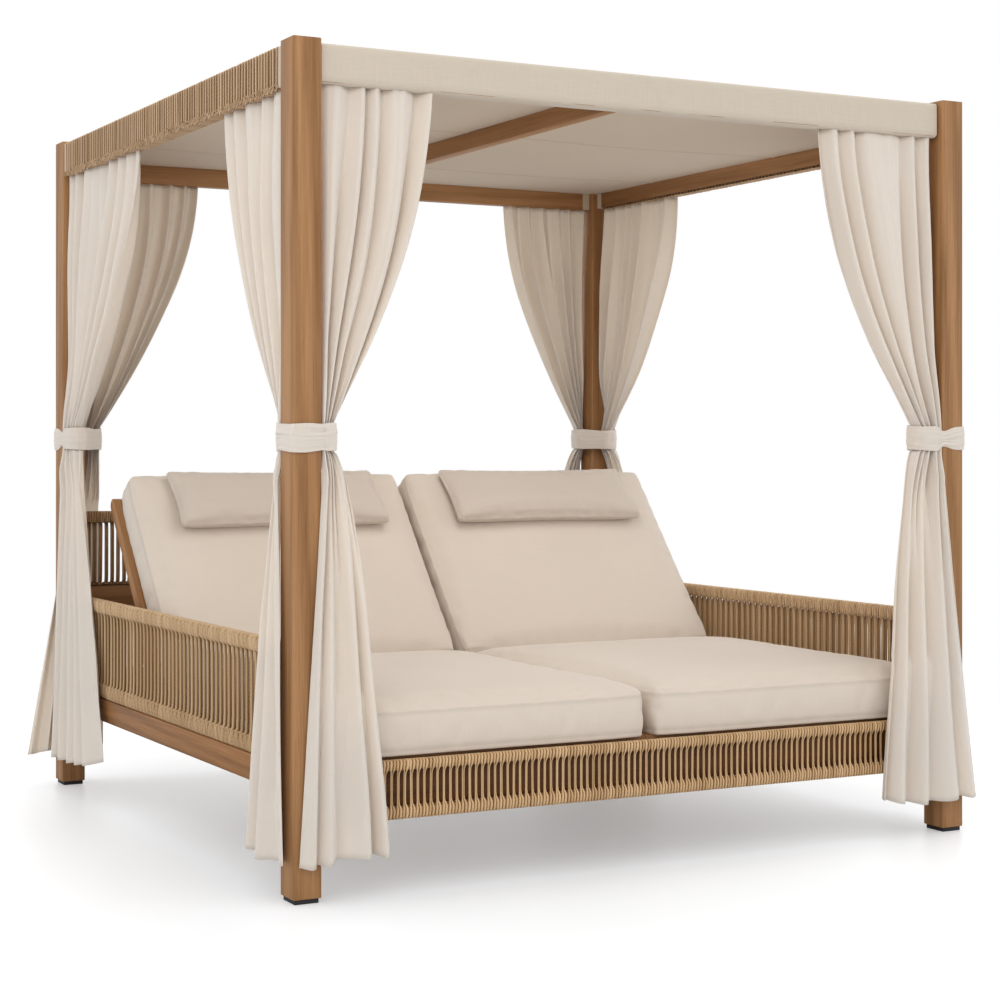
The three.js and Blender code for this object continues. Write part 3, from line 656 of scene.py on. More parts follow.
# a dark copy of the teak for the front bed rail, seen through the apron, as painted shade
PAINTED_SHADE_TEAK = Timber(Run.ALONG_X, srgb(118, 74, 32), srgb(82, 47, 18), "painted_shade_teak")
CUSHION_CLOTH = Cloth("cushion_cloth", srgb(220, 207, 193), 620, seam_painted_shade=0.3)
PILLOW_CLOTH = Cloth("pillow_cloth", srgb(208, 195, 182), 620, seam_painted_shade=0.3)
CURTAIN_CLOTH = Cloth("curtain_cloth", srgb(228, 215, 202), 1100, Lie.CUT, slub=0.12,
                      sheen=0.3, glow=0.6)
CANOPY_CLOTH = Cloth("canopy_cloth", srgb(208, 195, 178), 700, slub=0.3)
LINING_CLOTH = Cloth("lining_cloth", srgb(207, 189, 167), 700, slub=0.12, seam_painted_shade=0.95)
BED_ROPE = Rope("bed_rope", srgb(201, 170, 133))
APRON_ROPE = Rope("apron_rope", srgb(207, 172, 130))
# a darker copy of the bed rope for the head and back panels, as painted shade
PAINTED_SHADE_HEAD_ROPE = Rope("head_rope", srgb(166, 133, 98))
ROOF_ROPE = Rope("roof_rope", srgb(202, 172, 140))
STEEL = Hard("satin_steel", (0.53, 0.54, 0.55), 0.34, 1.0)
GLIDE_PLASTIC = Hard("glide_plastic", srgb(34, 33, 32), 0.6, 0.0)


def body_of(node: str) -> str:
    """Finds the body that a CAD node rides on.

    Args:
        node: The CAD node.

    Returns:
        The body's name.
    """
    bodies = frame["record"]["behaviour"]["bodies"]
    return next(body for body, nodes in bodies.items() if node in nodes)


def dress(piece: bpy.types.Object, node: str, finish: Finish,
          replaced: bool = True) -> None:
    """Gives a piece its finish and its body.

    Args:
        piece: The finished piece.
        node: The CAD node whose body it rides on.
        finish: The finish to wear.
        replaced: Whether the piece stands for the node.
    """
    piece.data.materials.clear()
    piece.data.materials.append(finish.material())
    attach(piece, body_of(node))
    if replaced:
        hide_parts(node)
    LOG.info("%s: %d faces on %s", piece.name, len(piece.data.polygons), body_of(node))


# ---- timber ----------------------------------------------------------------------------------


def clean_copy(node: str, name: str) -> bpy.types.Object:
    """Copies a CAD node and merges its loose triangles into flat faces.

    Args:
        node: The CAD node.
        name: The copy's name.

    Returns:
        The new object, not yet dressed.
    """
    mesh = frame["nodes"][node].data.copy()
    mesh.name = name
    piece = bpy.data.objects.new(name, mesh)
    bpy.context.scene.collection.objects.link(piece)
    select_only(piece)
    bpy.ops.object.mode_set(mode="EDIT")
    bpy.ops.mesh.select_all(action="SELECT")
    bpy.ops.mesh.remove_doubles(threshold=0.00001)
    bpy.ops.mesh.dissolve_limited(angle_limit=math.radians(1))
    bpy.ops.object.mode_set(mode="OBJECT")
    if mesh.has_custom_normals:
        bpy.ops.mesh.customdata_custom_splitnormals_clear()
    return piece


@dataclass
class Carpentry:
    """The posts, beams and rails: each timber with eased edges and grain along it."""

    eased: float = 2.2 * MM
    timbers: tuple[tuple[Timber, str], ...] = (
        (Timber(Run.UPRIGHT), "front_left_post front_right_post back_left_post back_right_post"),
        (Timber(Run.ALONG_X), "front_beam back_beam back_bed_rail head_rail"),
        (Timber(Run.ALONG_Y), "left_beam right_beam roof_rafter centre_bed_rail"),
        # the side bed rails' darker teak is painted shade
        (PAINTED_SHADE_RAIL_TEAK, "left_bed_rail right_bed_rail"),
        # the front bed rail's dark teak is painted shade behind the apron
        (PAINTED_SHADE_TEAK, "front_bed_rail"),
    )

    def build(self) -> None:
        """Builds and dresses every fixed timber."""
        for finish, nodes in self.timbers:
            for node in nodes.split():
                self.timber(node, finish, self.eased)

    @staticmethod
    def timber(node: str, finish: Timber, eased: float) -> None:
        """Builds one timber from its CAD node.

        Args:
            node: The CAD node.
            finish: The teak to wear.
            eased: How far its edges are rounded.
        """
        piece = clean_copy(node, f"{node}_timber")
        bevel(piece, eased)
        smooth(piece, 40)
        dress(piece, node, finish)


@dataclass
class Glides:
    """The dark plastic glides under the posts: eased blocks with a rim round the post's foot."""

    rim: float = 4 * MM
    edge: float = 1.5 * MM

    def build(self) -> None:
        """Builds and dresses the four glides."""
        for node in (n for n in frame["nodes"] if n.endswith("_glide")):
            low, high = (Vector(corner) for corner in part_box(node))
            piece = block(f"{node}_pad", (low + high) / 2, high - low)
            bpy.ops.object.mode_set(mode="EDIT")
            bpy.ops.mesh.select_all(action="DESELECT")
            bpy.ops.object.mode_set(mode="OBJECT")
            for face in piece.data.polygons:
                face.select = face.normal.z > 0.5
            bpy.ops.object.mode_set(mode="EDIT")
            bpy.ops.mesh.inset(thickness=self.rim)
            bpy.ops.object.mode_set(mode="OBJECT")
            bevel(piece, self.edge)
            smooth(piece)
            dress(piece, node, GLIDE_PLASTIC)


# ---- ropes -----------------------------------------------------------------------------------


def softened(path: np.ndarray, closed: bool) -> np.ndarray:
    """Cuts the corners of a path so that a rope can follow it.

    Args:
        path: The path's corner points, with what else changes along it in further columns.
        closed: Whether the path joins its own start.

    Returns:
        The rounded path's points.
    """
    ahead = np.roll(path, -1, axis=0)
    pairs = np.stack([0.75 * path + 0.25 * ahead, 0.25 * path + 0.75 * ahead], axis=1)
    if closed:
        return pairs.reshape(-1, path.shape[1])
    return np.vstack([path[:1], pairs[:-1].reshape(-1, path.shape[1]), path[-1:]])


@dataclass
class Strand:
    """The mesh of one length of rope, ready to be stamped many times over.

    It keeps, for each point, the place around and along the rope, and how much painted shade
    darkens it.
    """

    points: np.ndarray
    faces: np.ndarray
    around: np.ndarray
    shade: Number = 0.0
    sides: ClassVar[int] = 6

    @classmethod
    def swept(cls, path: np.ndarray, radius: Number, closed: bool,
              across: Point = (1, 0, 0)) -> "Strand":
        """Sweeps a round rope along a path.

        Args:
            path: The path's points.
            radius: The rope's radius, or its radius at each point.
            closed: Whether the path joins its own start.
            across: A direction that the path never runs along.

        Returns:
            The rope's mesh.
        """
        ahead, behind = np.roll(path, -1, axis=0), np.roll(path, 1, axis=0)
        if not closed:
            ahead[-1], behind[0] = 2 * path[-1] - path[-2], 2 * path[0] - path[1]
        along = ahead - behind
        along /= np.linalg.norm(along, axis=1, keepdims=True)
        side = np.cross(along, np.array(across, dtype=float))
        side /= np.linalg.norm(side, axis=1, keepdims=True)
        up = np.cross(side, along)
        angles = 2 * math.pi * np.arange(cls.sides) / cls.sides
        thick = np.broadcast_to(radius, len(path))[:, None, None]
        rings = path[:, None] + thick * (np.cos(angles)[None, :, None] * side[:, None]
                                         + np.sin(angles)[None, :, None] * up[:, None])
        length = np.concatenate([[0], np.cumsum(np.linalg.norm(np.diff(path, axis=0), axis=1))])
        around = np.stack(np.broadcast_arrays(np.cos(angles)[None, :], np.sin(angles)[None, :],
                                              length[:, None]), axis=-1)
        number = numbered(len(path), cls.sides)
        number = np.hstack([number, number[:, :1]])
        if closed:
            number = np.vstack([number, number[:1]])
        return cls(rings.reshape(-1, 3), quads(number), around.reshape(-1, 3))


class RopeWork:
    """Gathers many strands into one piece."""

    def __init__(self, seed: int) -> None:
        """Starts an empty piece of rope work.

        Args:
            seed: What its small variations start from.
        """
        self.random = np.random.default_rng(seed)
        self.points: list[np.ndarray] = []
        self.faces: list[np.ndarray] = []
        self.around: list[np.ndarray] = []
        self.tones_and_painted_shade: list[np.ndarray] = []
        self.count = 0

    def stamp(self, strand: Strand, offset: Sequence[float], lean: float = 0.0,
              tone: float = 0.5) -> None:
        """Adds a copy of a strand.

        Args:
            strand: The strand to copy.
            offset: Where the copy goes.
            lean: How far the copy's foot wanders along the run, for each metre of its height.
            tone: How light the rope is, with 0.5 as the finish's own colour; lower values given
                here are painted shade.
        """
        points = strand.points + np.asarray(offset)
        if lean:
            points[:, 0] += lean * (points[:, 2] - points[:, 2].mean())
        self.points.append(points)
        self.faces.append(strand.faces + self.count)
        self.around.append(strand.around + np.array([0, 0, self.random.uniform(0, 0.1)]))
        own = np.clip(self.random.normal(tone, 0.22), tone - 0.5, 1)
        # the strand's shade is painted shade, added on top of the rope's random tone
        self.tones_and_painted_shade.append(np.full(len(points), own) + strand.shade)
        self.count += len(points)

    def piece(self, name: str, place: Callable[[np.ndarray], np.ndarray],
              mirrored: bool) -> bpy.types.Object:
        """Makes the piece of all the strands stamped so far.

        Args:
            name: The piece's name.
            place: Turns rows of along, out and up into the frame's axes.
            mirrored: Whether that turns faces inside out.

        Returns:
            The new piece, smooth and with what its material reads.
        """
        faces = np.vstack(self.faces)
        faces = faces[:, ::-1] if mirrored else faces
        piece = mesh_piece(name, place(np.vstack(self.points)), faces)
        store(piece, "around", np.vstack(self.around))
        store(piece, "tone", np.concatenate(self.tones_and_painted_shade))
        piece.data.shade_smooth()
        return piece


@dataclass
class Wrap:
    """A rail wound with rope: its height range and its depth, in the panel's own directions."""

    low: float
    high: float
    depth: float

    def loop(self, radius: float, slant: float) -> Strand:
        """Sweeps one closed loop of rope round the rail.

        Args:
            radius: The rope's radius.
            slant: How far along the run its sides slant.

        Returns:
            The loop's mesh, with its middle at the start of the run.
        """
        half, bottom, top = self.depth / 2 - radius, self.low + radius, self.high - radius
        middle, tall = (self.low + self.high) / 2, (self.high - self.low) / 2
        path = np.array([[0, half, middle], [0, half, top], [0, 0, top], [0, -half, top],
                         [0, -half, middle], [0, -half, bottom], [0, 0, bottom], [0, half, bottom]])
        path[:, 0] = -slant * (path[:, 2] - middle) / tall * path[:, 1] / half
        return Strand.swept(softened(path, True), radius, True)


@dataclass
class RopePanel:
    """A rope panel: two wound rails and paired upright strands that splay where they go over them.

    Directions in the panel are along its run, out through it (negative to the front) and up.
    Between the pairs, each rail carries so many filler loops. The strands are thinner than where
    they are wound, and if they are doubled, they come back up behind the panel.
    """

    node: str
    run: Run
    low_wrap: float
    high_wrap: float
    pitch: float
    radius: float
    fillers: int
    seed: int
    flip: bool = False
    wound: float = 0.0
    rope: Rope = BED_ROPE
    neck: float = 7 * MM
    # painted shade on the upright strands and on the lower wrap, as offsets to the rope's tone
    upright_painted_shade: float = 0.0
    foot_painted_shade: float = 0.0
    doubled: bool = False
    margin: float = 2 * MM
    loop_slant: float = 3.4 * MM

    def build(self) -> None:
        """Builds and dresses the panel."""
        self.wound = self.wound or self.radius
        low, high = (np.array(corner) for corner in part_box(self.node))
        along, out = (0, 1) if self.run is Run.ALONG_X else (1, 0)
        start, end = low[along] + self.margin, high[along] - self.margin
        depth, middle = high[out] - low[out], (low[out] + high[out]) / 2
        lower = Wrap(low[2], low[2] + self.low_wrap, depth)
        upper = Wrap(high[2] - self.high_wrap, high[2], depth)
        work = RopeWork(self.seed)
        count = round((end - start) / self.pitch)
        pitch = (end - start) / count
        per_unit = self.fillers + 2
        strands = [self.strand(lower, upper, side, pitch / per_unit) for side in (-1, 1)]
        loops = [wrap.loop(self.radius, self.loop_slant) for wrap in (lower, upper)]
        for number in range(count):
            centre = start + pitch * (number + 0.5)
            lean = work.random.normal(0, 0.006)
            for strand in strands:
                work.stamp(strand, (centre + work.random.normal(0, 0.25 * MM), 0, 0), lean)
            for filler in range(self.fillers):
                shift = pitch * (1.5 + filler) / per_unit
                # the lower wrap's filler loops get the foot's painted shade
                for loop, tone in zip(loops, (0.5 + self.foot_painted_shade, 0.5)):
                    lift = work.random.normal(0, 0.2 * MM)
                    work.stamp(loop, (centre + shift, 0, lift), tone=tone)

        def place(points: np.ndarray) -> np.ndarray:
            """Turns the panel's directions into the frame's axes.

            Args:
                points: Rows of along, out and up.

            Returns:
                The points in the frame's axes.
            """
            result = np.empty_like(points)
            result[:, along], result[:, 2] = points[:, 0], points[:, 2]
            result[:, out] = middle + points[:, 1] * (-1 if self.flip else 1)
            return result

        turned = (self.run is Run.ALONG_Y) != self.flip
        piece = work.piece(f"{self.node}_ropes", place, turned)
        dress(piece, self.node, self.rope)
        for wrap, label in ((lower, "lower"), (upper, "upper")):
            self.core(wrap, label, (start, end), (along, out), middle)

    def strand(self, lower: Wrap, upper: Wrap, side: int, spread: float) -> Strand:
        """Sweeps one upright strand, wound over both rails at its ends.

        Args:
            lower: The lower rail.
            upper: The upper rail.
            side: Which of the pair it is, -1 or 1.
            spread: The room that a rope has on the rails.

        Returns:
            The strand's mesh.
        """
        radius, wound = self.radius, self.wound
        half = lower.depth / 2 - wound
        near, recess = half * 0.8, half * 0.4
        low_in, low_out = lower.high - wound, lower.low + wound
        high_in, high_out = upper.low + wound, upper.high - wound
        slant = 0.35 * (wound - radius)
        narrow, head, foot = side * radius * 0.86, side * spread / 2 * 1.02, side * spread / 2
        leaving, reaching = mix(narrow, head, 0.4), mix(narrow, foot, 0.6)
        heights = (upper.low - self.neck, (lower.high + upper.low) / 2, lower.high + self.neck)
        path = [
            [head - slant, half, high_in], [head, half, high_out], [head, 0, high_out],
            [head + 2 * slant, -half, high_out], [head - slant, -half, mix(high_in, high_out, 0.3)],
            [leaving, -near, high_in - 1 * MM], *([narrow, -recess, height] for height in heights),
            [reaching, -near, low_in + 1 * MM], [foot + slant, -half, mix(low_out, low_in, 0.7)],
            [foot - 2 * slant, -half, low_out], [foot, 0, low_out], [foot, half, low_out],
            [foot, half, low_in]]
        thick = [wound] * 5 + [radius] * 4 + [mix(radius, wound, 0.5)] + [wound] * 5
        # painted shade: the uprights and the lower wrap are drawn darker than the upper wrap
        tones_and_painted_shade = [0.0] * 5 + [self.upright_painted_shade] * 4 + [self.foot_painted_shade] * 6
        if self.doubled:
            path += [[reaching, near, low_in + 1 * MM],
                     *([narrow, recess, height] for height in reversed(heights)),
                     [leaving, near, high_in - 1 * MM]]
            thick += [radius] * 5
            tones_and_painted_shade += [self.upright_painted_shade] * 5
        rounded = softened(np.column_stack([path, thick, tones_and_painted_shade]), self.doubled)
        strand = Strand.swept(rounded[:, :3], rounded[:, 3], self.doubled)
        strand.shade = np.repeat(rounded[:, 4], Strand.sides)
        return strand

    def core(self, wrap: Wrap, label: str, span: tuple[float, float], axes: tuple[int, int],
             middle: float) -> None:
        """Builds the round-edged rail inside a wrap, if the wrap is tall enough for one.

        Args:
            wrap: The wrap.
            label: What the rail is called.
            span: Where it starts and ends along the run.
            axes: The axes that the run and its depth lie along.
            middle: Where the panel's middle is through its depth.
        """
        along, out = axes
        centre, size = np.zeros(3), np.zeros(3)
        inset = self.wound * 1.25
        centre[along], size[along] = sum(span) / 2, span[1] - span[0]
        centre[out], size[out] = middle, wrap.depth - 2 * inset
        centre[2], size[2] = (wrap.low + wrap.high) / 2, wrap.high - wrap.low - 2 * inset
        if size[2] <= 0:
            return
        piece = block(f"{self.node}_{label}_core", centre, size)
        bevel(piece, min(4 * MM, size[2] * 0.3))
        smooth(piece)
        dress(piece, self.node, Timber(self.run), replaced=False)


@dataclass
class RoofRope:
    """Rope wound over a side beam of the roof, with knotted loops along its foot."""

    side: str
    droop: tuple[float, float] = (4 * MM, 11 * MM)
    radius: float = 3.9 * MM
    pitch: float = 9.7 * MM
    knots: float = 17 * MM
    sink: float = 3.4 * MM

    def build(self) -> None:
        """Builds and dresses one side's rope."""
        node = f"{self.side}_roof_rope"
        low, high = (np.array(corner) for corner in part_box(node))
        sign = SIDES[self.side]
        outer = (high[0] if sign > 0 else -low[0]) - self.radius
        inner = (low[0] if sign > 0 else -high[0]) + self.radius
        top, bottom = high[2] - self.radius, low[2] + self.radius
        work = RopeWork(31 + sign)
        start, end = low[1], high[1]
        count = int((end - start) / self.pitch)
        middle, near = (inner + outer) / 2, outer - 5 * MM
        path = np.array([[0, inner, bottom], [0, middle, bottom], [0, near, bottom],
                         [0, outer, bottom + 3 * MM], [0, outer, bottom + 12 * MM],
                         [0, outer, (top + bottom) / 2], [0, outer, top - 5 * MM], [0, outer, top],
                         [0, near, top], [0, middle, top], [0, inner, top]])
        for number in range(count):
            sunk = number % 2
            strand = Strand.swept(softened(path, False), self.radius, False)
            back = abs(work.random.normal(0, 0.7 * MM)) + sunk * self.sink
            strand.points[:, 1] -= back * (strand.points[:, 1] > near)
            shift = start + self.radius + number * (end - start - 2 * self.radius) / (count - 1)
            jitter = work.random.normal(0, 0.6 * MM)
            # every other strand sits deeper in the winding and gets a lower tone, as painted shade
            work.stamp(strand, (shift + jitter, 0, 0), work.random.normal(0, 0.014),
                       tone=0.5 - 0.95 * sunk)
        for shift in np.arange(start + self.knots / 2, end - self.knots / 3, self.knots):
            self.knot(work, shift, outer, bottom)

        def place(points: np.ndarray) -> np.ndarray:
            """Turns along, out and up into the frame's axes."""
            return np.stack([sign * points[:, 1], points[:, 0], points[:, 2]], axis=1)

        piece = work.piece(f"{node}_ropes", place, sign > 0)
        dress(piece, node, ROOF_ROPE)

    def knot(self, work: RopeWork, shift: float, outer: float, bottom: float) -> None:
        """Adds one uneven loop of rope at the foot of the winding.

        Args:
            work: The rope work that it joins.
            shift: Where it is along the beam.
            outer: Where the winding's outer face is.
            bottom: Where the winding's foot is.
        """
        wide = self.knots * work.random.uniform(0.38, 0.72)
        drop = work.random.uniform(*self.droop)
        turns = np.linspace(0, 2 * math.pi, 15)[:-1]
        tilt = work.random.uniform(-0.5, 0.5)
        path = np.stack([wide * np.cos(turns), outer + 2.2 * MM + 1.6 * MM * np.sin(2 * turns),
                         bottom + 3 * MM + drop * np.sin(turns + tilt)], axis=1)
        loop = Strand.swept(path, self.radius * 0.66, True, (0, 1, 0.02))
        work.stamp(loop, (shift + work.random.normal(0, 4 * MM), 0, 0))


# ---- curtains --------------------------------------------------------------------------------


@dataclass
class Curtain:
    """A curtain hung from a beam, gathered by its tieback beside a post and flared to its hem.

    Distances along are measured from the post's inner face, towards the middle of the side. Its
    width is given at the beam, at the tieback (the bundle) and at the hem, where it laps over the
    post and reaches along the side. The bed that it hangs against has a height for each side.
    """

    node: str
    top_width: float
    lap: float
    bundle: float
    reach: float
    seed: int
    pleats: float = 4.5
    lobes: float = 3.5
    columns: int = 150
    rows: int = 150
    thickness: float = 1.6 * MM
    top_gap: float = 7 * MM
    fit: float = 1.2 * MM
    hold: float = 0.05
    lift: float = 18 * MM
    inset: float = 9 * MM
    tie_low: float = 1.095
    tie_high: float = 1.165
    hem: float = 0.095
    swag: float = 1.66
    flare: float = 0.55
    tied_above: float = 0.24
    tied_below: float = 0.16
    top_folds: tuple[float, float] = (16 * MM, 27 * MM)
    foot_folds: tuple[float, float] = (11 * MM, 23 * MM)
    corner_inset: float = 11 * MM
    edge_sway: float = 4 * MM
    ruffle: float = 1.3 * MM
    skin: float = 0.8 * MM
    ease: float = 0.13
    slack: float = 0.06
    bed_gaps: ClassVar[dict[Run, float]] = {Run.ALONG_X: 1 * MM, Run.ALONG_Y: -7 * MM}
    bed_heights: ClassVar[dict[str, float]] = {
        "front": 0.48, "back": 0.90, "left": 0.65, "right": 0.65}

    def __post_init__(self) -> None:
        """Reads the curtain's beam, post, run, row and side from its name."""
        first, second = self.node.split("_")[:2]
        row, side = (first, second) if first in ROWS else (second, first)
        self.run = Run.ALONG_X if first in ROWS else Run.ALONG_Y
        self.row, self.side = ROWS[row], SIDES[side]
        self.beam, self.post = f"{first}_beam", f"{row}_{side}_post"
        self.bed = self.bed_heights[first]

    def build(self) -> None:
        """Builds and dresses the curtain."""
        self.measure()
        random = np.random.default_rng(self.seed)
        self.wander = random.uniform(0, 2 * math.pi, 12)
        points, uv = self.surface()
        faces = quads(numbered(*points.shape[:2]))
        if self.side * self.row * (1 if self.run is Run.ALONG_X else -1) > 0:
            faces = faces[:, ::-1]
        piece = mesh_piece(f"{self.node}_cloth", points.reshape(-1, 3), faces)
        unwrap(piece, uv.reshape(-1, 2))
        thicken(piece, self.thickness)
        piece.data.shade_smooth()
        dress(piece, self.node, CURTAIN_CLOTH)

    def measure(self) -> None:
        """Reads the post beside the curtain and the height of its top."""
        low, high = (np.abs(np.array(corner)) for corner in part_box(self.post))
        axis = 0 if self.run is Run.ALONG_X else 1
        self.face = min(low[axis], high[axis])
        self.outer, inner = max(low[1 - axis], high[1 - axis]), min(low[1 - axis], high[1 - axis])
        self.half_post = (self.outer - inner) / 2
        self.post_middle = (self.outer + inner) / 2
        self.beam_middle = sum(abs(corner[1 - axis]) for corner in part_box(self.beam)) / 2
        self.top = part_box(self.node)[1][2]

    def surface(self) -> tuple[np.ndarray, np.ndarray]:
        """Shapes the cloth.

        Returns:
            The points by row and column, and the cloth's own coordinates in metres.
        """
        w = self.wander
        u = np.linspace(0, 1, self.columns)[None, :]
        z = self.heights()[:, None]
        up = np.clip((self.top - z) / (self.top - self.tie_high), 0, 1)
        down = np.clip((self.tie_low - z) / (self.tie_low - self.hem), 0, 1)
        below = down > 0
        crossing = np.clip((down - self.hold) / (1 - self.hold), 0, 1)
        near = np.where(below, self.fit - self.lap * crossing, mix(self.top_gap, self.fit, up))
        edge = self.bundle + (self.top_gap + self.top_width - self.bundle) * (1 - up ** self.swag)
        far = np.where(below, self.bundle + (self.reach - self.bundle) * down ** self.flare, edge)
        far = far + self.edge_sway * np.sin(9 * z + w[8]) * np.where(below, down, up * (1 - up) * 4)
        above, under = (z - self.tie_high) / self.tied_above, (self.tie_low - z) / self.tied_below
        tied = smoothstep(1 - np.maximum(above, under))
        corner = (self.half_post - self.corner_inset) * (1 - smoothstep(u / 0.42))
        hung = mix(*self.top_folds, smoothstep(up * 2.5))
        depth = np.where(below, mix(*self.foot_folds, down ** 0.8), hung)
        depth = depth * (1 + 0.18 * np.sin(3.1 * z + 4 * u + w[9]))
        depth = depth * np.where(below, mix(0.45, 1, smoothstep(u / 0.2)), 1)
        bundle = (self.half_post - self.inset) * np.sqrt(np.clip(1 - (2 * u - 1) ** 2, 0.0, 1))
        half = mix(depth, bundle, tied)
        wave = self.folds(u, z, up, down, below)
        along = self.face - (near + (far - near) * u)
        hanging = mix(self.beam_middle, self.post_middle, up) + corner * tied
        out = np.where(below, self.fallen(u, down, corner), hanging) + half * wave
        ruffle = np.sin(38 * along + 7 * z + w[11]) * np.sin(5 * z + w[10])
        out = out + self.ruffle * ruffle * (1 - tied)
        out = self.cleared(out, along, z, below)
        drape = self.lift * u ** 2 - 5 * MM * (wave * 0.6 + np.sin(2 * math.pi * u + w[10]))
        level = z + np.where(below, drape * down ** 2, 0)
        if self.run is Run.ALONG_X:
            points = np.stack([self.side * along, self.row * out, level], axis=-1)
        else:
            points = np.stack([self.side * out, self.row * along, level], axis=-1)
        steps = np.linalg.norm(np.diff(points[-1], axis=0), axis=1)
        across = np.concatenate([[0], np.cumsum(steps)])
        uv = np.stack(np.broadcast_arrays(across[None, :], z), axis=-1)
        return points, uv

    def fallen(self, u: np.ndarray, down: np.ndarray, corner: np.ndarray) -> np.ndarray:
        """Gives how far out the middle of the cloth is below the tieback.

        Args:
            u: The share across the cloth.
            down: The share down from the tieback to the hem.
            corner: How far towards the post's outer corner each part is held by the tieback.

        Returns:
            The distance from the daybed's centre, which grows slowly so that the fall is straight.
        """
        held = self.post_middle + corner
        beside = mix(held, self.outer + 4 * MM, smoothstep(down / (1.6 * self.hold)))
        beside = beside + 11 * MM * down
        away = held + (self.outer + 25 * MM - held) * down ** 0.6
        return mix(beside, away, smoothstep(u / 0.4))

    def cleared(self, out: np.ndarray, along: np.ndarray, z: np.ndarray,
                below: np.ndarray) -> np.ndarray:
        """Keeps the cloth outside the post that it crosses and the bed that it hangs against.

        Args:
            out: How far out each point is.
            along: How far along each point is.
            z: The rows' heights.
            below: Where a row is below the tieback.

        Returns:
            The distances out, with none inside what the cloth lies on.
        """
        skin = self.thickness + self.skin
        post = self.outer + skin
        panel = self.outer + skin + self.bed_gaps[self.run]
        free = self.post_middle - self.slack
        beside = smoothstep((self.bed + self.ease - z) / self.ease)
        over = smoothstep((along - self.face + 3 * MM) / (3 * MM))
        floor = np.maximum(mix(free, panel, beside), mix(free, post, over))
        return np.where(below, np.maximum(out, floor), out)

    def heights(self) -> np.ndarray:
        """Gives the heights of the rows, closer together by the tieback.

        Returns:
            The heights from the top to the hem.
        """
        upper = int(self.rows * 0.46)
        top = self.tie_high + (self.top - self.tie_high) * np.linspace(1, 0, upper) ** 1.25
        middle = np.linspace(self.tie_high, self.tie_low, 7)[1:]
        shares = np.linspace(0, 1, self.rows - upper - 5)[1:]
        foot = self.tie_low - (self.tie_low - self.hem) * shares ** 1.2
        return np.concatenate([top, middle, foot])

    def folds(self, u: np.ndarray, z: np.ndarray, up: np.ndarray, down: np.ndarray,
              below: np.ndarray) -> np.ndarray:
        """Gives the folds' depth, from -1 to 1.

        Args:
            u: The share across the cloth.
            z: The rows' heights.
            up: The share down from the beam to the tieback.
            down: The share down from the tieback to the hem.
            below: Where a row is below the tieback.

        Returns:
            The depth at each row and column.
        """
        w = self.wander
        drift = 0.16 * np.sin(2.2 * z + 5 * u + w[0]) + 0.08 * np.sin(5.1 * z + 9 * u + w[1])
        warp = 0.055 * np.sin(2 * math.pi * u + w[2]) + 0.028 * np.sin(4 * math.pi * u + w[3])
        top = self.lobe(self.pleats * (u + warp) + drift, mix(1.2, 0.7, smoothstep(up * 1.4)))
        fine = self.lobe(self.pleats * 2.1 * u + w[4] + 1.5 * drift, 1.0)
        top = top + 0.13 * fine * np.clip(1 - 1.3 * up, 0, 1)
        top = top + 0.10 * fine * np.clip(up * 4 - 3, 0, 1)
        warp = 0.06 * np.sin(2 * math.pi * u + w[5]) + 0.02 * np.sin(4 * math.pi * u + w[6])
        foot = self.lobe(self.lobes * (u + warp) + 0.6 * drift + 0.1, 1.25, 0.03)
        small = self.lobe(self.lobes * 2 * u + w[7] + drift, 1.4, 0.05)
        foot = foot + 0.12 * small * (1 - down) ** 2
        share = smoothstep(down / 0.45)
        wave = np.where(below, mix(top, foot, share), top) / 1.08
        near_tie = np.where(below, self.tie_low - z, np.maximum(z - self.tie_high, 0))
        pinch = np.exp(-np.maximum(near_tie, 0) / 0.07)
        wave = wave + 0.22 * pinch * np.sin(2 * math.pi * 9 * u + w[6] + 6 * z)
        return np.clip(wave, -1.0, 1.0)

    @staticmethod
    def lobe(phase: np.ndarray, power: Number, soft: float = 0.006) -> np.ndarray:
        """Gives a row of broad rounded folds with creases between them, from -1 to 1."""
        return 2 * (np.sin(math.pi * phase) ** 2 + soft) ** (power / 2) - 1


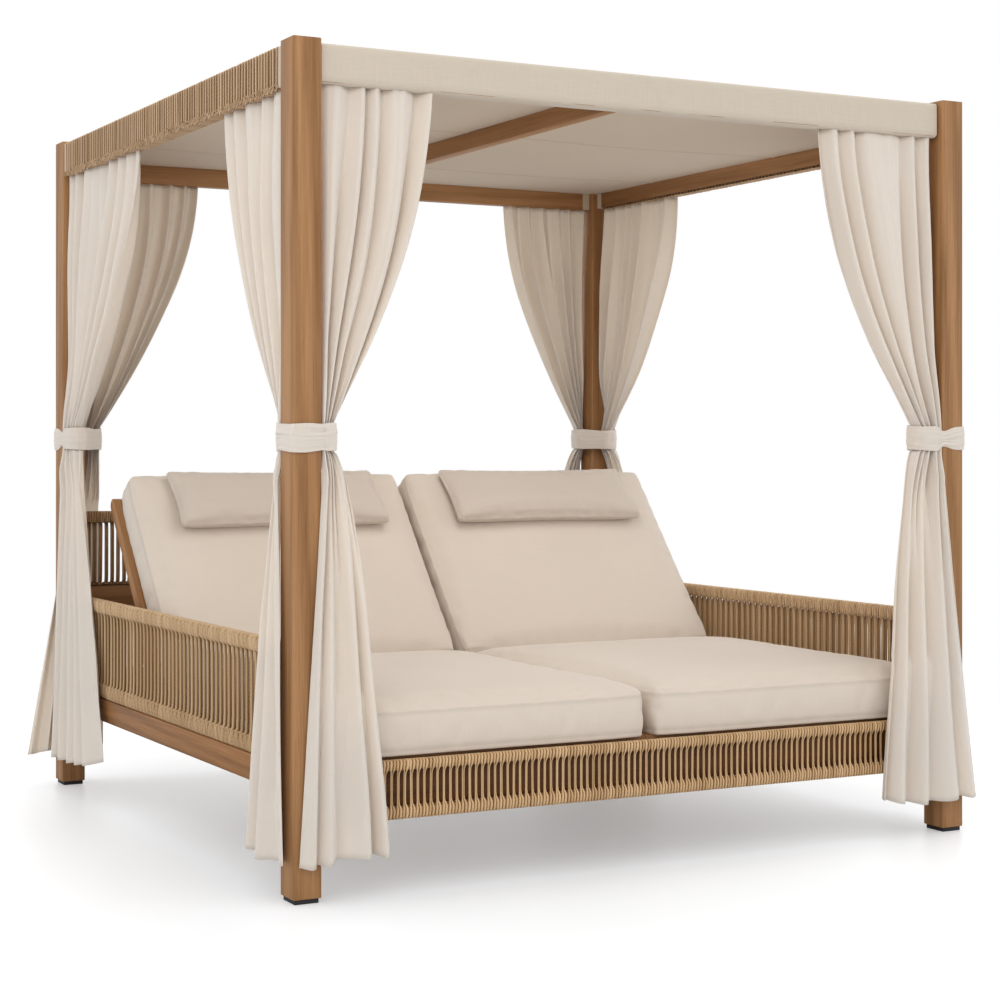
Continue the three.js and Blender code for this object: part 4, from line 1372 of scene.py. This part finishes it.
@dataclass
class Tieback:
    """A soft cloth strap round a post and the curtains gathered beside it."""

    node: str
    pinch: float
    seed: int
    thickness: float = 2.2 * MM
    wall: float = 3.6 * MM
    sway: float = 1.5 * MM
    bulge: float = 2.4 * MM
    columns: int = 260
    rows: int = 34

    def __post_init__(self) -> None:
        """Reads the strap's row and side from its name."""
        row, side = self.node.split("_")[:2]
        self.row, self.side = ROWS[row], SIDES[side]

    def build(self) -> None:
        """Builds and dresses the strap."""
        random = np.random.default_rng(self.seed)
        path, normal, nearness = self.path()
        low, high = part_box(self.node)
        bottom, top = low[2], high[2]
        v = np.linspace(-1, 1, self.rows)[:, None]
        gathered = nearness[None, :]
        middle, half = (bottom + top) / 2, (top - bottom) / 2
        q = np.linspace(0, 2 * math.pi, self.columns, endpoint=False)[None, :]
        sway = self.sway * np.sin(3 * q + random.uniform(0, 6))
        height = half * (1 - self.pinch * gathered) + sway
        z = middle + v * height + self.sway * np.sin(2 * q + random.uniform(0, 6))
        crease = 0.0
        for waves in (2, 3, 5, 7):
            start, swing = random.uniform(0, 6), random.uniform(1, 2)
            turn = math.pi * waves * v + start + swing * np.sin(q * 2)
            crease = crease + np.sin(turn) / math.sqrt(waves)
        bulge = self.bulge * (1 - v ** 2) + crease * (0.45 + 1.7 * gathered) * MM
        out = np.clip(bulge, 0.2 * MM, 7 * MM)
        x = path[None, :, 0] + normal[None, :, 0] * out
        y = path[None, :, 1] + normal[None, :, 1] * out
        points = np.stack([x, y, z], axis=-1)
        number = numbered(self.rows, self.columns)
        faces = quads(np.hstack([number, number[:, :1]]), rows_first=False)
        if self.side * self.row < 0:
            faces = faces[:, ::-1]
        piece = mesh_piece(f"{self.node}_strap", points.reshape(-1, 3), faces)
        length = np.linalg.norm(np.roll(path, -1, axis=0) - path, axis=1)
        run = np.concatenate([[0], np.cumsum(length)])
        uv = np.stack(np.broadcast_arrays(run[None, :-1], v * half), axis=-1)
        unwrap(piece, uv.reshape(-1, 2))
        thicken(piece, self.thickness, 1.0)
        piece.data.shade_smooth()
        dress(piece, self.node, CURTAIN_CLOTH)

    def path(self) -> tuple[np.ndarray, np.ndarray, np.ndarray]:
        """Reads the strap's inner line from its CAD node.

        Returns:
            Points in plan, their outward directions, and how near each is to a pinch between the
            post and a gathered curtain.
        """
        mesh = frame["nodes"][self.node].data
        low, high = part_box(self.node)
        flat = np.array([v.co[:2] for v in mesh.vertices if abs(v.co[2] - high[2]) < 1e-5])
        ring = self.resample(self.inner_hull(flat))
        ahead, behind = np.roll(ring, -1, axis=0), np.roll(ring, 1, axis=0)
        along = ahead - behind
        along /= np.linalg.norm(along, axis=1, keepdims=True)
        normal = np.stack([along[:, 1], -along[:, 0]], axis=1)
        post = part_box(self.node.replace("tieback", "post"))
        right, back = self.side > 0, self.row > 0
        corners = [(post[1 - right][0], post[back][1]), (post[right][0], post[1 - back][1])]
        middle = (np.array(post[0][:2]) + np.array(post[1][:2])) / 2
        near = np.zeros(len(ring))
        for corner in corners:
            away = ring - np.array(corner)
            inward = away @ (np.array(corner) - middle) < 0
            wide = np.where(inward, 0.034, 0.011)
            near = np.maximum(near, np.exp(-(np.linalg.norm(away, axis=1) / wide) ** 2))
        return ring, normal, near

    def inner_hull(self, flat: np.ndarray) -> np.ndarray:
        """Gives the convex line round the strap's inner wall.

        Args:
            flat: The points of the strap's upper edge, in plan.

        Returns:
            The corner points of the line.
        """
        from_low = flat[np.lexsort((flat[:, 1], flat[:, 0]))]

        def chain(points: np.ndarray) -> list[np.ndarray]:
            """Walks one side of the hull.

            Args:
                points: The points in order.

            Returns:
                Those of them that the line turns at.
            """
            kept: list[np.ndarray] = []
            for point in points:
                while len(kept) > 1 and np.cross(kept[-1] - kept[-2], point - kept[-1]) <= 1e-12:
                    kept.pop()
                kept.append(point)
            return kept

        hull = np.array(chain(from_low)[:-1] + chain(from_low[::-1])[:-1])
        centre = hull.mean(axis=0)
        spread = hull - centre
        size = np.linalg.norm(spread, axis=1, keepdims=True)
        return centre + spread * (size - self.wall) / size

    def resample(self, corners: np.ndarray) -> np.ndarray:
        """Spaces points evenly along a closed line, and rounds its corners.

        Args:
            corners: The line's corner points.

        Returns:
            The line's new points.
        """
        closed = np.vstack([corners, corners[:1]])
        length = np.concatenate([[0], np.cumsum(np.linalg.norm(np.diff(closed, axis=0), axis=1))])
        places = np.linspace(0, length[-1], self.columns, endpoint=False)
        ring = np.stack([np.interp(places, length, closed[:, axis]) for axis in (0, 1)], axis=1)
        for _ in range(3):
            ring = (np.roll(ring, 1, axis=0) + 2 * ring + np.roll(ring, -1, axis=0)) / 4
        return ring


# ---- roof cloth ------------------------------------------------------------------------------


@dataclass
class Canopy:
    """The canopy cloth: a sheet over the roof, turned down as front and back valances."""

    sag: float = 9 * MM
    columns: int = 170
    thickness: float = 2.4 * MM
    rounding: float = 7 * MM
    step: float = 12 * MM
    ripple: float = 0.9 * MM
    edge_ripple: float = 0.6 * MM

    def build(self) -> None:
        """Builds and dresses the canopy cloth."""
        node = "canopy_cloth"
        low, high = (np.array(corner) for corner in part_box(node))
        half = self.thickness / 2
        front, back, top = low[1] + half, high[1] - half, high[2] - half
        foot = low[2] + half
        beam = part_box("front_beam")
        turn, near = self.rounding, self.rounding * 0.3
        path = [(beam[1][1], foot), (front + turn, foot), (front, foot + turn), (front, top - turn),
                (front + near, top - near), (front + turn, top), (back - turn, top),
                (back - near, top - near), (back, top - turn), (back, foot)]
        line = self.spaced(np.array(path), self.step)
        x = np.linspace(low[0], high[0], self.columns)
        rows = []
        width = high[0] - low[0]
        for y, z in line:
            u = (x - low[0]) / width
            v = np.clip((y - front) / (back - front), 0, 1)
            on_top = smoothstep((z - (top - turn)) / turn)
            dip = self.sag * np.sin(math.pi * u) ** 0.8 * np.sin(math.pi * v) ** 0.8 * on_top
            ripple = self.ripple * np.sin(23 * x + 2 * np.sin(5 * x) + 9 * z) * (1 - on_top)
            edge = self.edge_ripple * np.sin(61 * x + 40 * z) * (1 - on_top)
            outward = np.where(v < 0.5, -1, 1)
            hang = np.clip((top - z) / (top - foot), 0, 1) * (1 - on_top)
            shift = np.maximum((ripple + edge) * hang, -half * 0.4)
            rows.append(np.stack([x, y + outward * shift, z - dip], axis=1))
        points = np.array(rows)
        faces = quads(numbered(*points.shape[:2]), rows_first=False)
        piece = mesh_piece("canopy_sheet", points.reshape(-1, 3), faces)
        thicken(piece, self.thickness)
        smooth(piece, 50)
        dress(piece, node, CANOPY_CLOTH)

    @staticmethod
    def spaced(path: np.ndarray, step: float) -> np.ndarray:
        """Adds points along a path so that they are about a step apart.

        Args:
            path: The path's corner points.
            step: How far apart the points are.

        Returns:
            The path's corners and the points between them.
        """
        result = [path[0]]
        for start, end in zip(path[:-1], path[1:]):
            count = max(1, round(float(np.linalg.norm(end - start)) / step))
            result += [mix(start, end, share) for share in np.linspace(0, 1, count + 1)[1:]]
        return np.array(result)


@dataclass
class Lining:
    """The ceiling lining: a cloth in three widths, with the straps that hold it."""

    sag: float = 7 * MM
    thickness: float = 1.8 * MM
    seams: tuple[float, float] = (-0.17, 0.57)
    seam_drop: float = 2.2 * MM
    gap: float = 0.6 * MM
    strap_width: float = 27 * MM
    strap_gap: float = 1.6 * MM
    post_gap: float = 0.8 * MM

    def build(self) -> None:
        """Builds and dresses the lining and its straps."""
        node = "ceiling_lining"
        beam_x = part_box("right_beam")[0][0] - self.gap
        beam_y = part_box("back_beam")[0][1] - self.gap
        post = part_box("back_right_post")[0]
        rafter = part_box("roof_rafter")
        level = rafter[1][2] + 0.3 * MM + self.thickness / 2
        xs = self.lines(beam_x, post[0] - self.gap)
        ys = self.lines(beam_y, post[1] - self.gap)
        close = [seam + step * MM for seam in self.seams for step in (-6, -3, -1.5, 0, 1.5, 3, 6)]
        ys = np.sort(np.concatenate([ys, close]))
        X, Y = np.meshgrid(xs, ys)
        middle = (rafter[0][0] + rafter[1][0]) / 2
        hold = np.abs(X - middle) / 0.5
        span = np.where(X < middle, X + beam_x, beam_x - X)
        drop = np.sin(math.pi * np.clip((Y + beam_y) / (2 * beam_y), 0, 1)) ** 0.6
        dip = self.sag * smoothstep(hold) * smoothstep(span / 0.5) * drop
        for seam in self.seams:
            dip += self.seam_drop * np.exp(-((Y - seam) / 0.007) ** 2)
        points = np.stack([X, Y, level - dip], axis=-1).reshape(-1, 3)
        faces = quads(numbered(*X.shape))
        places = points[faces].mean(axis=1)[:, :2]
        kept = (np.abs(places) < np.array(post[:2]) - 0.5 * MM).any(axis=1)
        piece = mesh_piece("ceiling_sheet", points, faces[kept])
        near = np.abs(points[:, 1:2] - np.array(self.seams)[None, :]).min(axis=1)
        store(piece, "seam", np.clip(1 - near / (4 * MM), 0, 1))
        thicken(piece, self.thickness)
        smooth(piece, 50)
        dress(piece, node, LINING_CLOTH)
        straps = self.straps(node)

    @staticmethod
    def lines(edge: float, notch: float) -> np.ndarray:
        """Gives the places of the sheet's rows, with one on each notch at the posts.

        Args:
            edge: How far out the sheet's edge is.
            notch: How far out the notch's edge is.

        Returns:
            The places, from one edge to the other.
        """
        inner = np.linspace(-notch, notch, 120)
        return np.concatenate([[-edge], inner, [edge]])

    def straps(self, node: str) -> list[bpy.types.Object]:
        """Builds the strap over each end of the side beams, and the tab on each end of the others.

        Args:
            node: The lining's CAD node.

        Returns:
            The dressed straps and tabs.
        """
        made = []
        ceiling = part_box(node)[1][2]
        for (row, sy), (side, sx) in product(ROWS.items(), SIDES.items()):
            post = np.abs(np.array(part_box(f"{row}_{side}_post"))).min(axis=0) - self.post_gap
            low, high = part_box(f"{side}_beam")
            inner = min(abs(low[0]), abs(high[0])) - self.strap_gap
            outer = max(abs(low[0]), abs(high[0])) + self.strap_gap
            under = low[2] - self.strap_gap
            path = [(inner, high[2] - 42 * MM), (inner, under), (outer, under),
                    (outer, high[2] + 6 * MM)]
            made.append(self.strap(f"{row}_{side}_lining_strap", path, post[1], sx, sy, False))
            low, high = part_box(f"{row}_beam")
            face = min(abs(low[1]), abs(high[1])) - self.strap_gap
            path = [(face, ceiling - 4 * MM), (face, low[2] + 1 * MM)]
            made.append(self.strap(f"{row}_{side}_lining_tab", path, post[0], sx, sy, True))
        return made

    def strap(self, name: str, path: list, edge: float, sx: int, sy: int,
              turned: bool) -> bpy.types.Object:
        """Builds one strap of cloth from its path in section and its place along the beam.

        Args:
            name: The strap's name.
            path: Distances out and heights.
            edge: Where its edge by the post is along the beam.
            sx: The side it is on.
            sy: The row it is in.
            turned: Whether the beam runs along X.

        Returns:
            The dressed strap.
        """
        line = Canopy.spaced(np.array(path), 6 * MM)
        places = np.linspace(edge - self.strap_width, edge, 7)
        points = [(sx * place, sy * out, z) if turned else (sx * out, sy * place, z)
                  for place in places for out, z in line]
        faces = quads(numbered(len(places), len(line)), rows_first=False)
        piece = mesh_piece(name, np.array(points), faces)
        thicken(piece, self.thickness)
        smooth(piece, 50)
        dress(piece, "ceiling_lining", LINING_CLOTH, replaced=False)
        return piece


# ---- cushions --------------------------------------------------------------------------------


@dataclass
class Pad:
    """A sewn cushion with boxed sides, crowned faces and a seam round each face.

    It is shaped with its start at Y zero, its middle on X zero and its underside at Z zero. A
    mitred start slopes to meet another cushion, and a knife edge has one seam instead of two.
    """

    name: str
    node: str
    width: float
    length: float
    low: float
    high: float
    crown: float
    place: Matrix
    rounding: float = 14 * MM
    low_rounding: float = 6 * MM
    mitre: float | None = None
    drop: float = 26.3 * MM
    tuck: float = 7 * MM
    bulge: float = 3 * MM
    corner: float = 0.015
    step: float = 19 * MM
    cap: float = 9 * MM
    mitre_cap: float = 0.8 * MM
    pressure: float = 2.5
    fill: float = 0.75
    piping: float = 1.0
    seam_draw: float = 0.7 * MM
    knife: bool = False
    thin: float = 1.0
    cloth: Cloth = CUSHION_CLOTH

    def build(self) -> None:
        """Shapes, fills, sews and dresses the cushion."""
        points, faces, seam, flat, swell = self.lattice()
        piece = mesh_piece(self.name, self.placed(points), faces)
        store(piece, "seam", seam)
        self.inflate(piece, np.maximum(seam > 0.5, flat), swell)
        self.sew(piece)
        piece.data.shade_smooth()
        dress(piece, self.node, self.cloth)

    def ticks(self, length: float) -> np.ndarray:
        """Gives places along an edge, closer together by its two ends.

        Args:
            length: The edge's length.

        Returns:
            The places from one end to the other.
        """
        edge = np.array([0, 0.22, 0.45, 0.72, 1.0, 1.5]) * self.rounding
        count = max(3, round((length - 2 * edge[-1]) / self.step))
        inner = np.linspace(edge[-1], length - edge[-1], count)
        return np.concatenate([edge[:-1], inner, length - edge[:-1][::-1]])

    def levels(self) -> np.ndarray:
        """Gives the heights of the rows up the sides.

        Returns:
            The heights, from 0 to 1.
        """
        tall = self.high - self.low
        edge = np.array([0, 0.25, 0.55, 1.0]) * min(self.rounding, tall * 0.46) / tall
        seam = 0.012 / tall if not self.knife else 0
        middle = [0.5] if self.knife else np.linspace(edge[-1] + seam, 1 - edge[-1] - seam, 6)
        return np.concatenate([edge, middle, 1 - edge[::-1]])

    def lattice(self) -> tuple[np.ndarray, list, np.ndarray, np.ndarray, np.ndarray]:
        """Builds the cushion's skin as a fine box and rounds it.

        Returns:
            Points, faces, how close each point is to a seam, which points lie underneath, and
            how far each point may swell. The mitred end stays flat, to meet the other cushion's.
        """
        grid = [self.ticks(self.width), self.ticks(self.length), self.levels()]
        sizes = [len(line) for line in grid]
        numbers = -np.ones(sizes, dtype=int)
        where = np.argwhere(numbers < 0)
        ends = (where == 0) | (where == np.array(sizes) - 1)
        where, ends = where[ends.any(axis=1)], ends[ends.any(axis=1)]
        numbers[tuple(where.T)] = np.arange(len(where))
        faces = []
        for axis in range(3):
            for end in (0, sizes[axis] - 1):
                sheet = np.take(numbers, end, axis=axis)
                skin = quads(sheet.T if axis == 1 else sheet)
                faces.append(skin if end else skin[:, ::-1])
        box = np.stack([grid[axis][where[:, axis]] for axis in range(3)], axis=1)
        sewn = [(sizes[2] - 1) // 2] if self.knife else [3, sizes[2] - 4]
        seam = (np.isin(where[:, 2], sewn) & ends[:, :2].any(axis=1)) * self.piping
        mitred = (where[:, 1] == 0) & (self.mitre is not None)
        swell = np.where(mitred, self.mitre_cap, self.cap)
        return self.shaped(box), np.vstack(faces), seam, box[:, 2] < 1e-6, swell

    def shaped(self, box: np.ndarray) -> np.ndarray:
        """Rounds and crowns the points of the fine box.

        Args:
            box: The points, with their heights from 0 to 1.

        Returns:
            The shaped points, in the cushion's own axes.
        """
        tall = self.high - self.low
        nominal = box * np.array([1, 1, tall])
        upper = np.array([self.rounding, self.rounding, min(self.rounding, tall * 0.46)])
        lower = upper if self.knife else np.minimum(upper, self.low_rounding)
        radius = np.where(nominal[:, 2:] > tall / 2, upper, lower)
        size = np.array([self.width, self.length, tall])
        core = np.clip(nominal, radius, size - radius)
        away = (nominal - core) / radius
        norm = np.maximum(np.linalg.norm(away, axis=1, keepdims=True), 1e-9)
        ball = core + away / norm * radius
        u = 2 * nominal[:, 0] / self.width - 1
        v = 2 * nominal[:, 1] / self.length - 1
        rise = np.sqrt(np.clip((1 - u ** 4) * (1 - v ** 4), 0, 1))
        level = ball[:, 2] / tall
        bottom = self.low * (1 - rise)
        z = bottom + (self.high + self.crown * rise - bottom) * level
        z = z * mix(1.0, self.thin, smoothstep(nominal[:, 1] / self.length))
        bulge = self.bulge * (1 - (2 * level - 1) ** 2)
        drawn = self.width * self.corner
        side = self.width / 2 - self.tuck * (1 - v ** 2) + bulge - drawn * np.abs(v) ** 8
        end = self.length - self.tuck * (1 - u ** 2) + bulge - drawn * np.abs(u) ** 8
        if self.mitre is None:
            start = self.tuck * (1 - u ** 2) - bulge + drawn * np.abs(u) ** 8
        else:
            start = (z + self.drop) * self.mitre + 1.5 * MM
        x = (2 * ball[:, 0] / self.width - 1) * side
        y = start + (end - start) * ball[:, 1] / self.length
        return np.stack([x, y, z], axis=1)

    def placed(self, points: np.ndarray) -> np.ndarray:
        """Moves points from the cushion's own axes to the frame's."""
        matrix = np.array(self.place)
        return points @ matrix[:3, :3].T + matrix[:3, 3]

    def inflate(self, piece: bpy.types.Object, held: np.ndarray, swell: np.ndarray) -> None:
        """Fills the cushion by simulating its cloth under pressure, then limits how far it swells.

        Args:
            piece: The cushion.
            held: Which points the stitching and the deck hold in place.
            swell: How far each point may move.
        """
        before = points_of(piece)
        group = piece.vertex_groups.new(name="held")
        group.add([int(i) for i in np.flatnonzero(held)], 1.0, "REPLACE")
        modifier = piece.modifiers.new("filling", "CLOTH")
        settings = modifier.settings
        settings.quality = 5
        settings.mass = 0.3
        settings.tension_stiffness = settings.compression_stiffness = 20
        settings.bending_stiffness = 6
        settings.use_pressure = True
        settings.uniform_pressure_force = self.pressure
        settings.shrink_min = -0.012
        settings.vertex_group_mass = "held"
        settings.effector_weights.gravity = 0
        modifier.collision_settings.use_collision = False
        scene = bpy.context.scene
        for step in range(1, 17):
            scene.frame_set(step)
        graph = bpy.context.evaluated_depsgraph_get()
        after = np.empty(before.size)
        piece.evaluated_get(graph).data.vertices.foreach_get("co", after)
        shift = after.reshape(-1, 3) - before
        piece.modifiers.remove(modifier)
        scene.frame_set(1)
        size = np.maximum(np.linalg.norm(shift, axis=1, keepdims=True), 1e-9)
        move_points(piece, before + shift * np.minimum(1, swell[:, None] / size))

    def sew(self, piece: bpy.types.Object) -> None:
        """Smooths the skin once and draws each seam in.

        Args:
            piece: The cushion.
        """
        modifier = piece.modifiers.new("soft_skin", "SUBSURF")
        modifier.levels = modifier.render_levels = 1
        apply_modifiers(piece)
        count = len(piece.data.vertices)
        seam = np.empty(count)
        piece.data.attributes["seam"].data.foreach_get("value", seam)
        normal = np.empty(count * 3)
        piece.data.vertices.foreach_get("normal", normal)
        drawn = normal.reshape(-1, 3) * (seam * self.seam_draw)[:, None]
        move_points(piece, points_of(piece) - drawn)


@dataclass
class Lounge:
    """One lounge: its cushions, head pillow, reclining back, and the metal that carries it.

    Each form gives a cushion's low and high face and the crown of the high one. The mitre is for
    cushions that meet when the back leans at 60 degrees.
    """

    side: str
    hinge: tuple[float, float] = (0.175, 0.309)
    rest: float = 50.0
    seat_front: float = 1.002
    seat_span: tuple[float, float] = (0.009, 0.950)
    back_span: tuple[float, float] = (0.012, 0.938)
    back_length: float = 0.812
    mitre: float = 1 / math.tan(math.radians(60))
    seat_form: tuple[float, float, float] = (0, 0.123, 0.027)
    back_form: tuple[float, float, float] = (0, 0.116, 0.012)
    pillow_form: tuple[float, float, float] = (0.026, 0.056, 0.026)
    pillow: tuple[float, float] = (0.701, 0.230)
    pillow_gap: float = 0.026

    def build(self) -> None:
        """Builds and dresses the lounge."""
        self.cushions(SIDES[self.side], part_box(f"{self.side}_seat_deck")[1][2])
        self.timbers()
        for part in ("hinge_rod", "prop_frame"):
            self.rod_work(part)

    def cushions(self, sign: int, deck: float) -> None:
        """Builds the seat cushion, the back cushion and the head pillow.

        Args:
            sign: The side that the lounge is on.
            deck: How high the seat deck is.
        """
        hinge_y, hinge_z = self.hinge
        seat_place = (sign * sum(self.seat_span) / 2, hinge_y, deck + 0.3 * MM)
        facing = Matrix.Translation(seat_place) @ Matrix.Rotation(math.pi, 4, "Z")
        Pad(f"{self.side}_seat_cushion_pad", f"{self.side}_seat_cushion",
            self.seat_span[1] - self.seat_span[0], self.seat_front + hinge_y, *self.seat_form,
            facing, mitre=self.mitre).build()
        back_middle = sign * sum(self.back_span) / 2
        lean = Matrix.Rotation(math.radians(self.rest), 4, "X")
        leaning = Matrix.Translation((0, hinge_y, hinge_z)) @ lean
        raised = leaning @ Matrix.Translation((back_middle, 0, Pad.drop))
        Pad(f"{self.side}_back_cushion_pad", f"{self.side}_back_cushion",
            self.back_span[1] - self.back_span[0], self.back_length, *self.back_form,
            raised, mitre=self.mitre, corner=0.012, tuck=2 * MM).build()
        node = f"{self.side}_head_pillow"
        local = [leaning.inverted() @ v.co for v in frame["nodes"][node].data.vertices]
        lift = min(point.z for point in local)
        along = self.back_length - self.pillow_gap - self.pillow[1]
        lying = leaning @ Matrix.Translation((back_middle, along, lift))
        Pad(f"{self.side}_head_pillow_pad", node, *self.pillow, *self.pillow_form, lying,
            rounding=13 * MM, step=14 * MM, cap=7 * MM, fill=0.6, knife=True, piping=1.4,
            corner=0.006, tuck=8 * MM, thin=0.55, cloth=PILLOW_CLOTH).build()

    def timbers(self) -> None:
        """Builds the back's timbers, and dresses the deck and the rack."""
        for part, run, eased in (
            ("backrest_outer_rail", Run.RECLINED, 4.5 * MM),
            ("backrest_inner_rail", Run.RECLINED, 4.5 * MM),
            ("backrest_slats", Run.ALONG_X, 1.5 * MM),
            ("seat_deck", Run.ALONG_X, 1.5 * MM),
            ("rack_frame", Run.ALONG_Y, 1.5 * MM),
        ):
            Carpentry.timber(f"{self.side}_{part}", Timber(run), eased)

    def rod_work(self, part: str) -> None:
        """Builds a metal part from its CAD node, with eased edges.

        Args:
            part: Which part it is.
        """
        node = f"{self.side}_{part}"
        piece = clean_copy(node, f"{node}_metal")
        bevel(piece, 0.9 * MM, degrees=50)
        smooth(piece, 40)
        dress(piece, node, STEEL)


# ---- studio ----------------------------------------------------------------------------------


@dataclass
class Studio:
    """The camera at the photograph's angle, the soft lights, and the pale floor and world."""

    eye: Point = (-2.9191, -5.6305, 1.1153)
    turn: float = 27.99
    lens: float = 73.9
    shift: float = -0.0566
    sky: float = 0.88
    lift: float = 0.33

    def build(self) -> None:
        """Builds the whole studio."""
        bpy.context.scene.view_settings.view_transform = "Standard"
        self.camera()
        self.lamps()
        self.world()
        self.floor()

    def camera(self) -> None:
        """Sets the camera up as the photograph's."""
        data = bpy.data.cameras.new("studio_camera")
        data.lens, data.sensor_width, data.shift_y = self.lens, 36, self.shift
        data.clip_end = 100
        camera = bpy.data.objects.new("studio_camera", data)
        camera.location = self.eye
        camera.rotation_euler = (math.radians(90), 0, math.radians(-self.turn))
        bpy.context.scene.collection.objects.link(camera)
        bpy.context.scene.camera = camera

    def lamps(self) -> None:
        """Adds the large soft lamps."""
        for name, place, power, size in (
            ("key_lamp", (-3.6, -5.6, 4.2), 50, 3.6),
            ("low_lamp", (-4.6, -4.4, 0.9), 26, 2.6),
            ("fill_lamp", (4.8, -4.2, 3.0), 30, 3.6),
            ("top_lamp", (0.4, 0.4, 6.0), 70, 4.5),
            ("seat_lamp", (0.0, -0.25, 1.86), 6, 0.9),
        ):
            data = bpy.data.lights.new(name, "AREA")
            data.energy, data.size = power, size
            lamp = bpy.data.objects.new(name, data)
            lamp.location = place
            lamp.visible_camera = False
            aim = Vector((0, 0, 0.8)) - Vector(place)
            lamp.rotation_euler = aim.to_track_quat("-Z", "Y").to_euler()
            bpy.context.scene.collection.objects.link(lamp)

    def world(self) -> None:
        """Makes the world light the scene softly and show white behind it."""
        world = bpy.data.worlds.new("studio_world")
        world.use_nodes = True
        tree = world.node_tree
        background = tree.nodes["Background"]
        path = add(tree, "ShaderNodeLightPath").outputs
        seen = maths(tree, "MAXIMUM", path["Is Camera Ray"], path["Is Glossy Ray"])
        tree.links.new(ranged(tree, seen, 0, 1, self.sky, 1.0), background.inputs["Strength"])
        background.inputs["Color"].default_value = (1, 1, 1, 1)
        bpy.context.scene.world = world

    def floor(self) -> None:
        """Adds the pale floor, which keeps the daybed's shadow and fades to white around it."""
        bpy.ops.object.select_all(action="DESELECT")
        bpy.ops.mesh.primitive_grid_add(x_subdivisions=4, y_subdivisions=4, size=60)
        floor = bpy.context.object
        floor.name = "studio_floor"
        material = bpy.data.materials.new("studio_floor")
        material.use_nodes = True
        tree = material.node_tree
        principled = tree.nodes["Principled BSDF"]
        principled.inputs["Base Color"].default_value = (0.755, 0.775, 0.795, 1)
        principled.inputs["Roughness"].default_value = 0.35
        principled.inputs["Specular IOR Level"].default_value = 0.25
        lift = add(tree, "ShaderNodeEmission", {"Color": (1, 1, 1, 1)})
        seen = add(tree, "ShaderNodeLightPath").outputs["Is Camera Ray"]
        tree.links.new(maths(tree, "MULTIPLY", seen, self.lift), lift.inputs["Strength"])
        near = add(tree, "ShaderNodeAddShader", {0: principled.outputs[0], 1: lift.outputs[0]})
        white = add(tree, "ShaderNodeEmission", {"Color": (1, 1, 1, 1), "Strength": 1.0})
        place = add(tree, "ShaderNodeTexCoord").outputs["Object"]
        away = add(tree, "ShaderNodeVectorMath", {0: place}, operation="LENGTH").outputs["Value"]
        share = maths(tree, "MULTIPLY", ranged(tree, away, 1.7, 3.4), seen)
        both = add(tree, "ShaderNodeMixShader", {0: share, 1: near.outputs[0], 2: white.outputs[0]})
        tree.links.new(both.outputs[0], tree.nodes["Material Output"].inputs["Surface"])
        floor.data.materials.append(material)


@dataclass
class Daybed:
    """The whole daybed, sub-assembly by sub-assembly."""

    panels: list[RopePanel] = field(default_factory=lambda: [
        RopePanel("front_rope_apron", Run.ALONG_X, 0.035, 0.032, 0.0182, 1.95 * MM, 0, 11,
                  wound=4.2 * MM, neck=4 * MM, rope=APRON_ROPE),
        RopePanel("left_rope_panel", Run.ALONG_Y, 0.044, 0.040, 0.032, 3.8 * MM, 2, 12,
                  upright_painted_shade=-0.3, foot_painted_shade=-0.4, doubled=True),
        RopePanel("right_rope_panel", Run.ALONG_Y, 0.044, 0.040, 0.032, 3.8 * MM, 2, 13, True,
                  upright_painted_shade=-0.3, foot_painted_shade=-0.4, doubled=True),
        RopePanel("head_rope_panel", Run.ALONG_X, 0.010, 0.040, 0.020, 3.6 * MM, 1, 14, True,
                  rope=PAINTED_SHADE_HEAD_ROPE),
        RopePanel("back_rope_panel", Run.ALONG_X, 0.044, 0.040, 0.020, 3.6 * MM, 1, 15, True,
                  rope=PAINTED_SHADE_HEAD_ROPE),
    ])
    curtains: list[Curtain] = field(default_factory=lambda: [
        Curtain("front_left_curtain", 0.302, 0.064, 0.045, 0.165, 21, 4.6, 3.7),
        Curtain("front_right_curtain", 0.402, 0.112, 0.078, 0.232, 22, 5.2, 4.2),
        Curtain("back_left_curtain", 0.390, 0.165, 0.060, 0.103, 23, 5.6, 3.6, flare=0.85),
        Curtain("back_right_curtain", 0.345, 0.080, 0.048, 0.187, 24, 5.4, 4.0),
        Curtain("left_front_curtain", 0.450, 0.078, 0.045, 0.152, 25, 4.6, 2.9),
        Curtain("left_back_curtain", 0.725, 0.080, 0.084, 0.520, 26, 6.6, 5.2,
                lift=0.055, flare=0.85),
        Curtain("right_front_curtain", 0.480, 0.060, 0.060, 0.265, 27, 5.4, 4.2),
        Curtain("right_back_curtain", 0.480, 0.080, 0.072, 0.265, 28, 5.8, 4.2),
    ])
    tiebacks: list[Tieback] = field(default_factory=lambda: [
        Tieback("front_left_tieback", 0.10, 41),
        Tieback("front_right_tieback", 0.42, 42),
        Tieback("back_left_tieback", 0.36, 43),
        Tieback("back_right_tieback", 0.30, 44),
    ])

    def build(self) -> None:
        """Builds every sub-assembly in order."""
        Carpentry().build()
        Glides().build()
        for part in (*self.panels, *self.curtains, *self.tiebacks):
            part.build()
        for side in SIDES:
            Lounge(side).build()
        RoofRope("left").build()
        RoofRope("right", droop=(1 * MM, 3 * MM)).build()
        Canopy().build()
        Lining().build()


def main() -> None:
    """Builds the studio and the daybed; each dressed piece logs how many faces it has."""
    logging.basicConfig(level=logging.INFO, format="%(name)s: %(message)s")
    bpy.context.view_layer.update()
    Studio().build()
    Daybed().build()


if __name__ == "__main__":
    main()
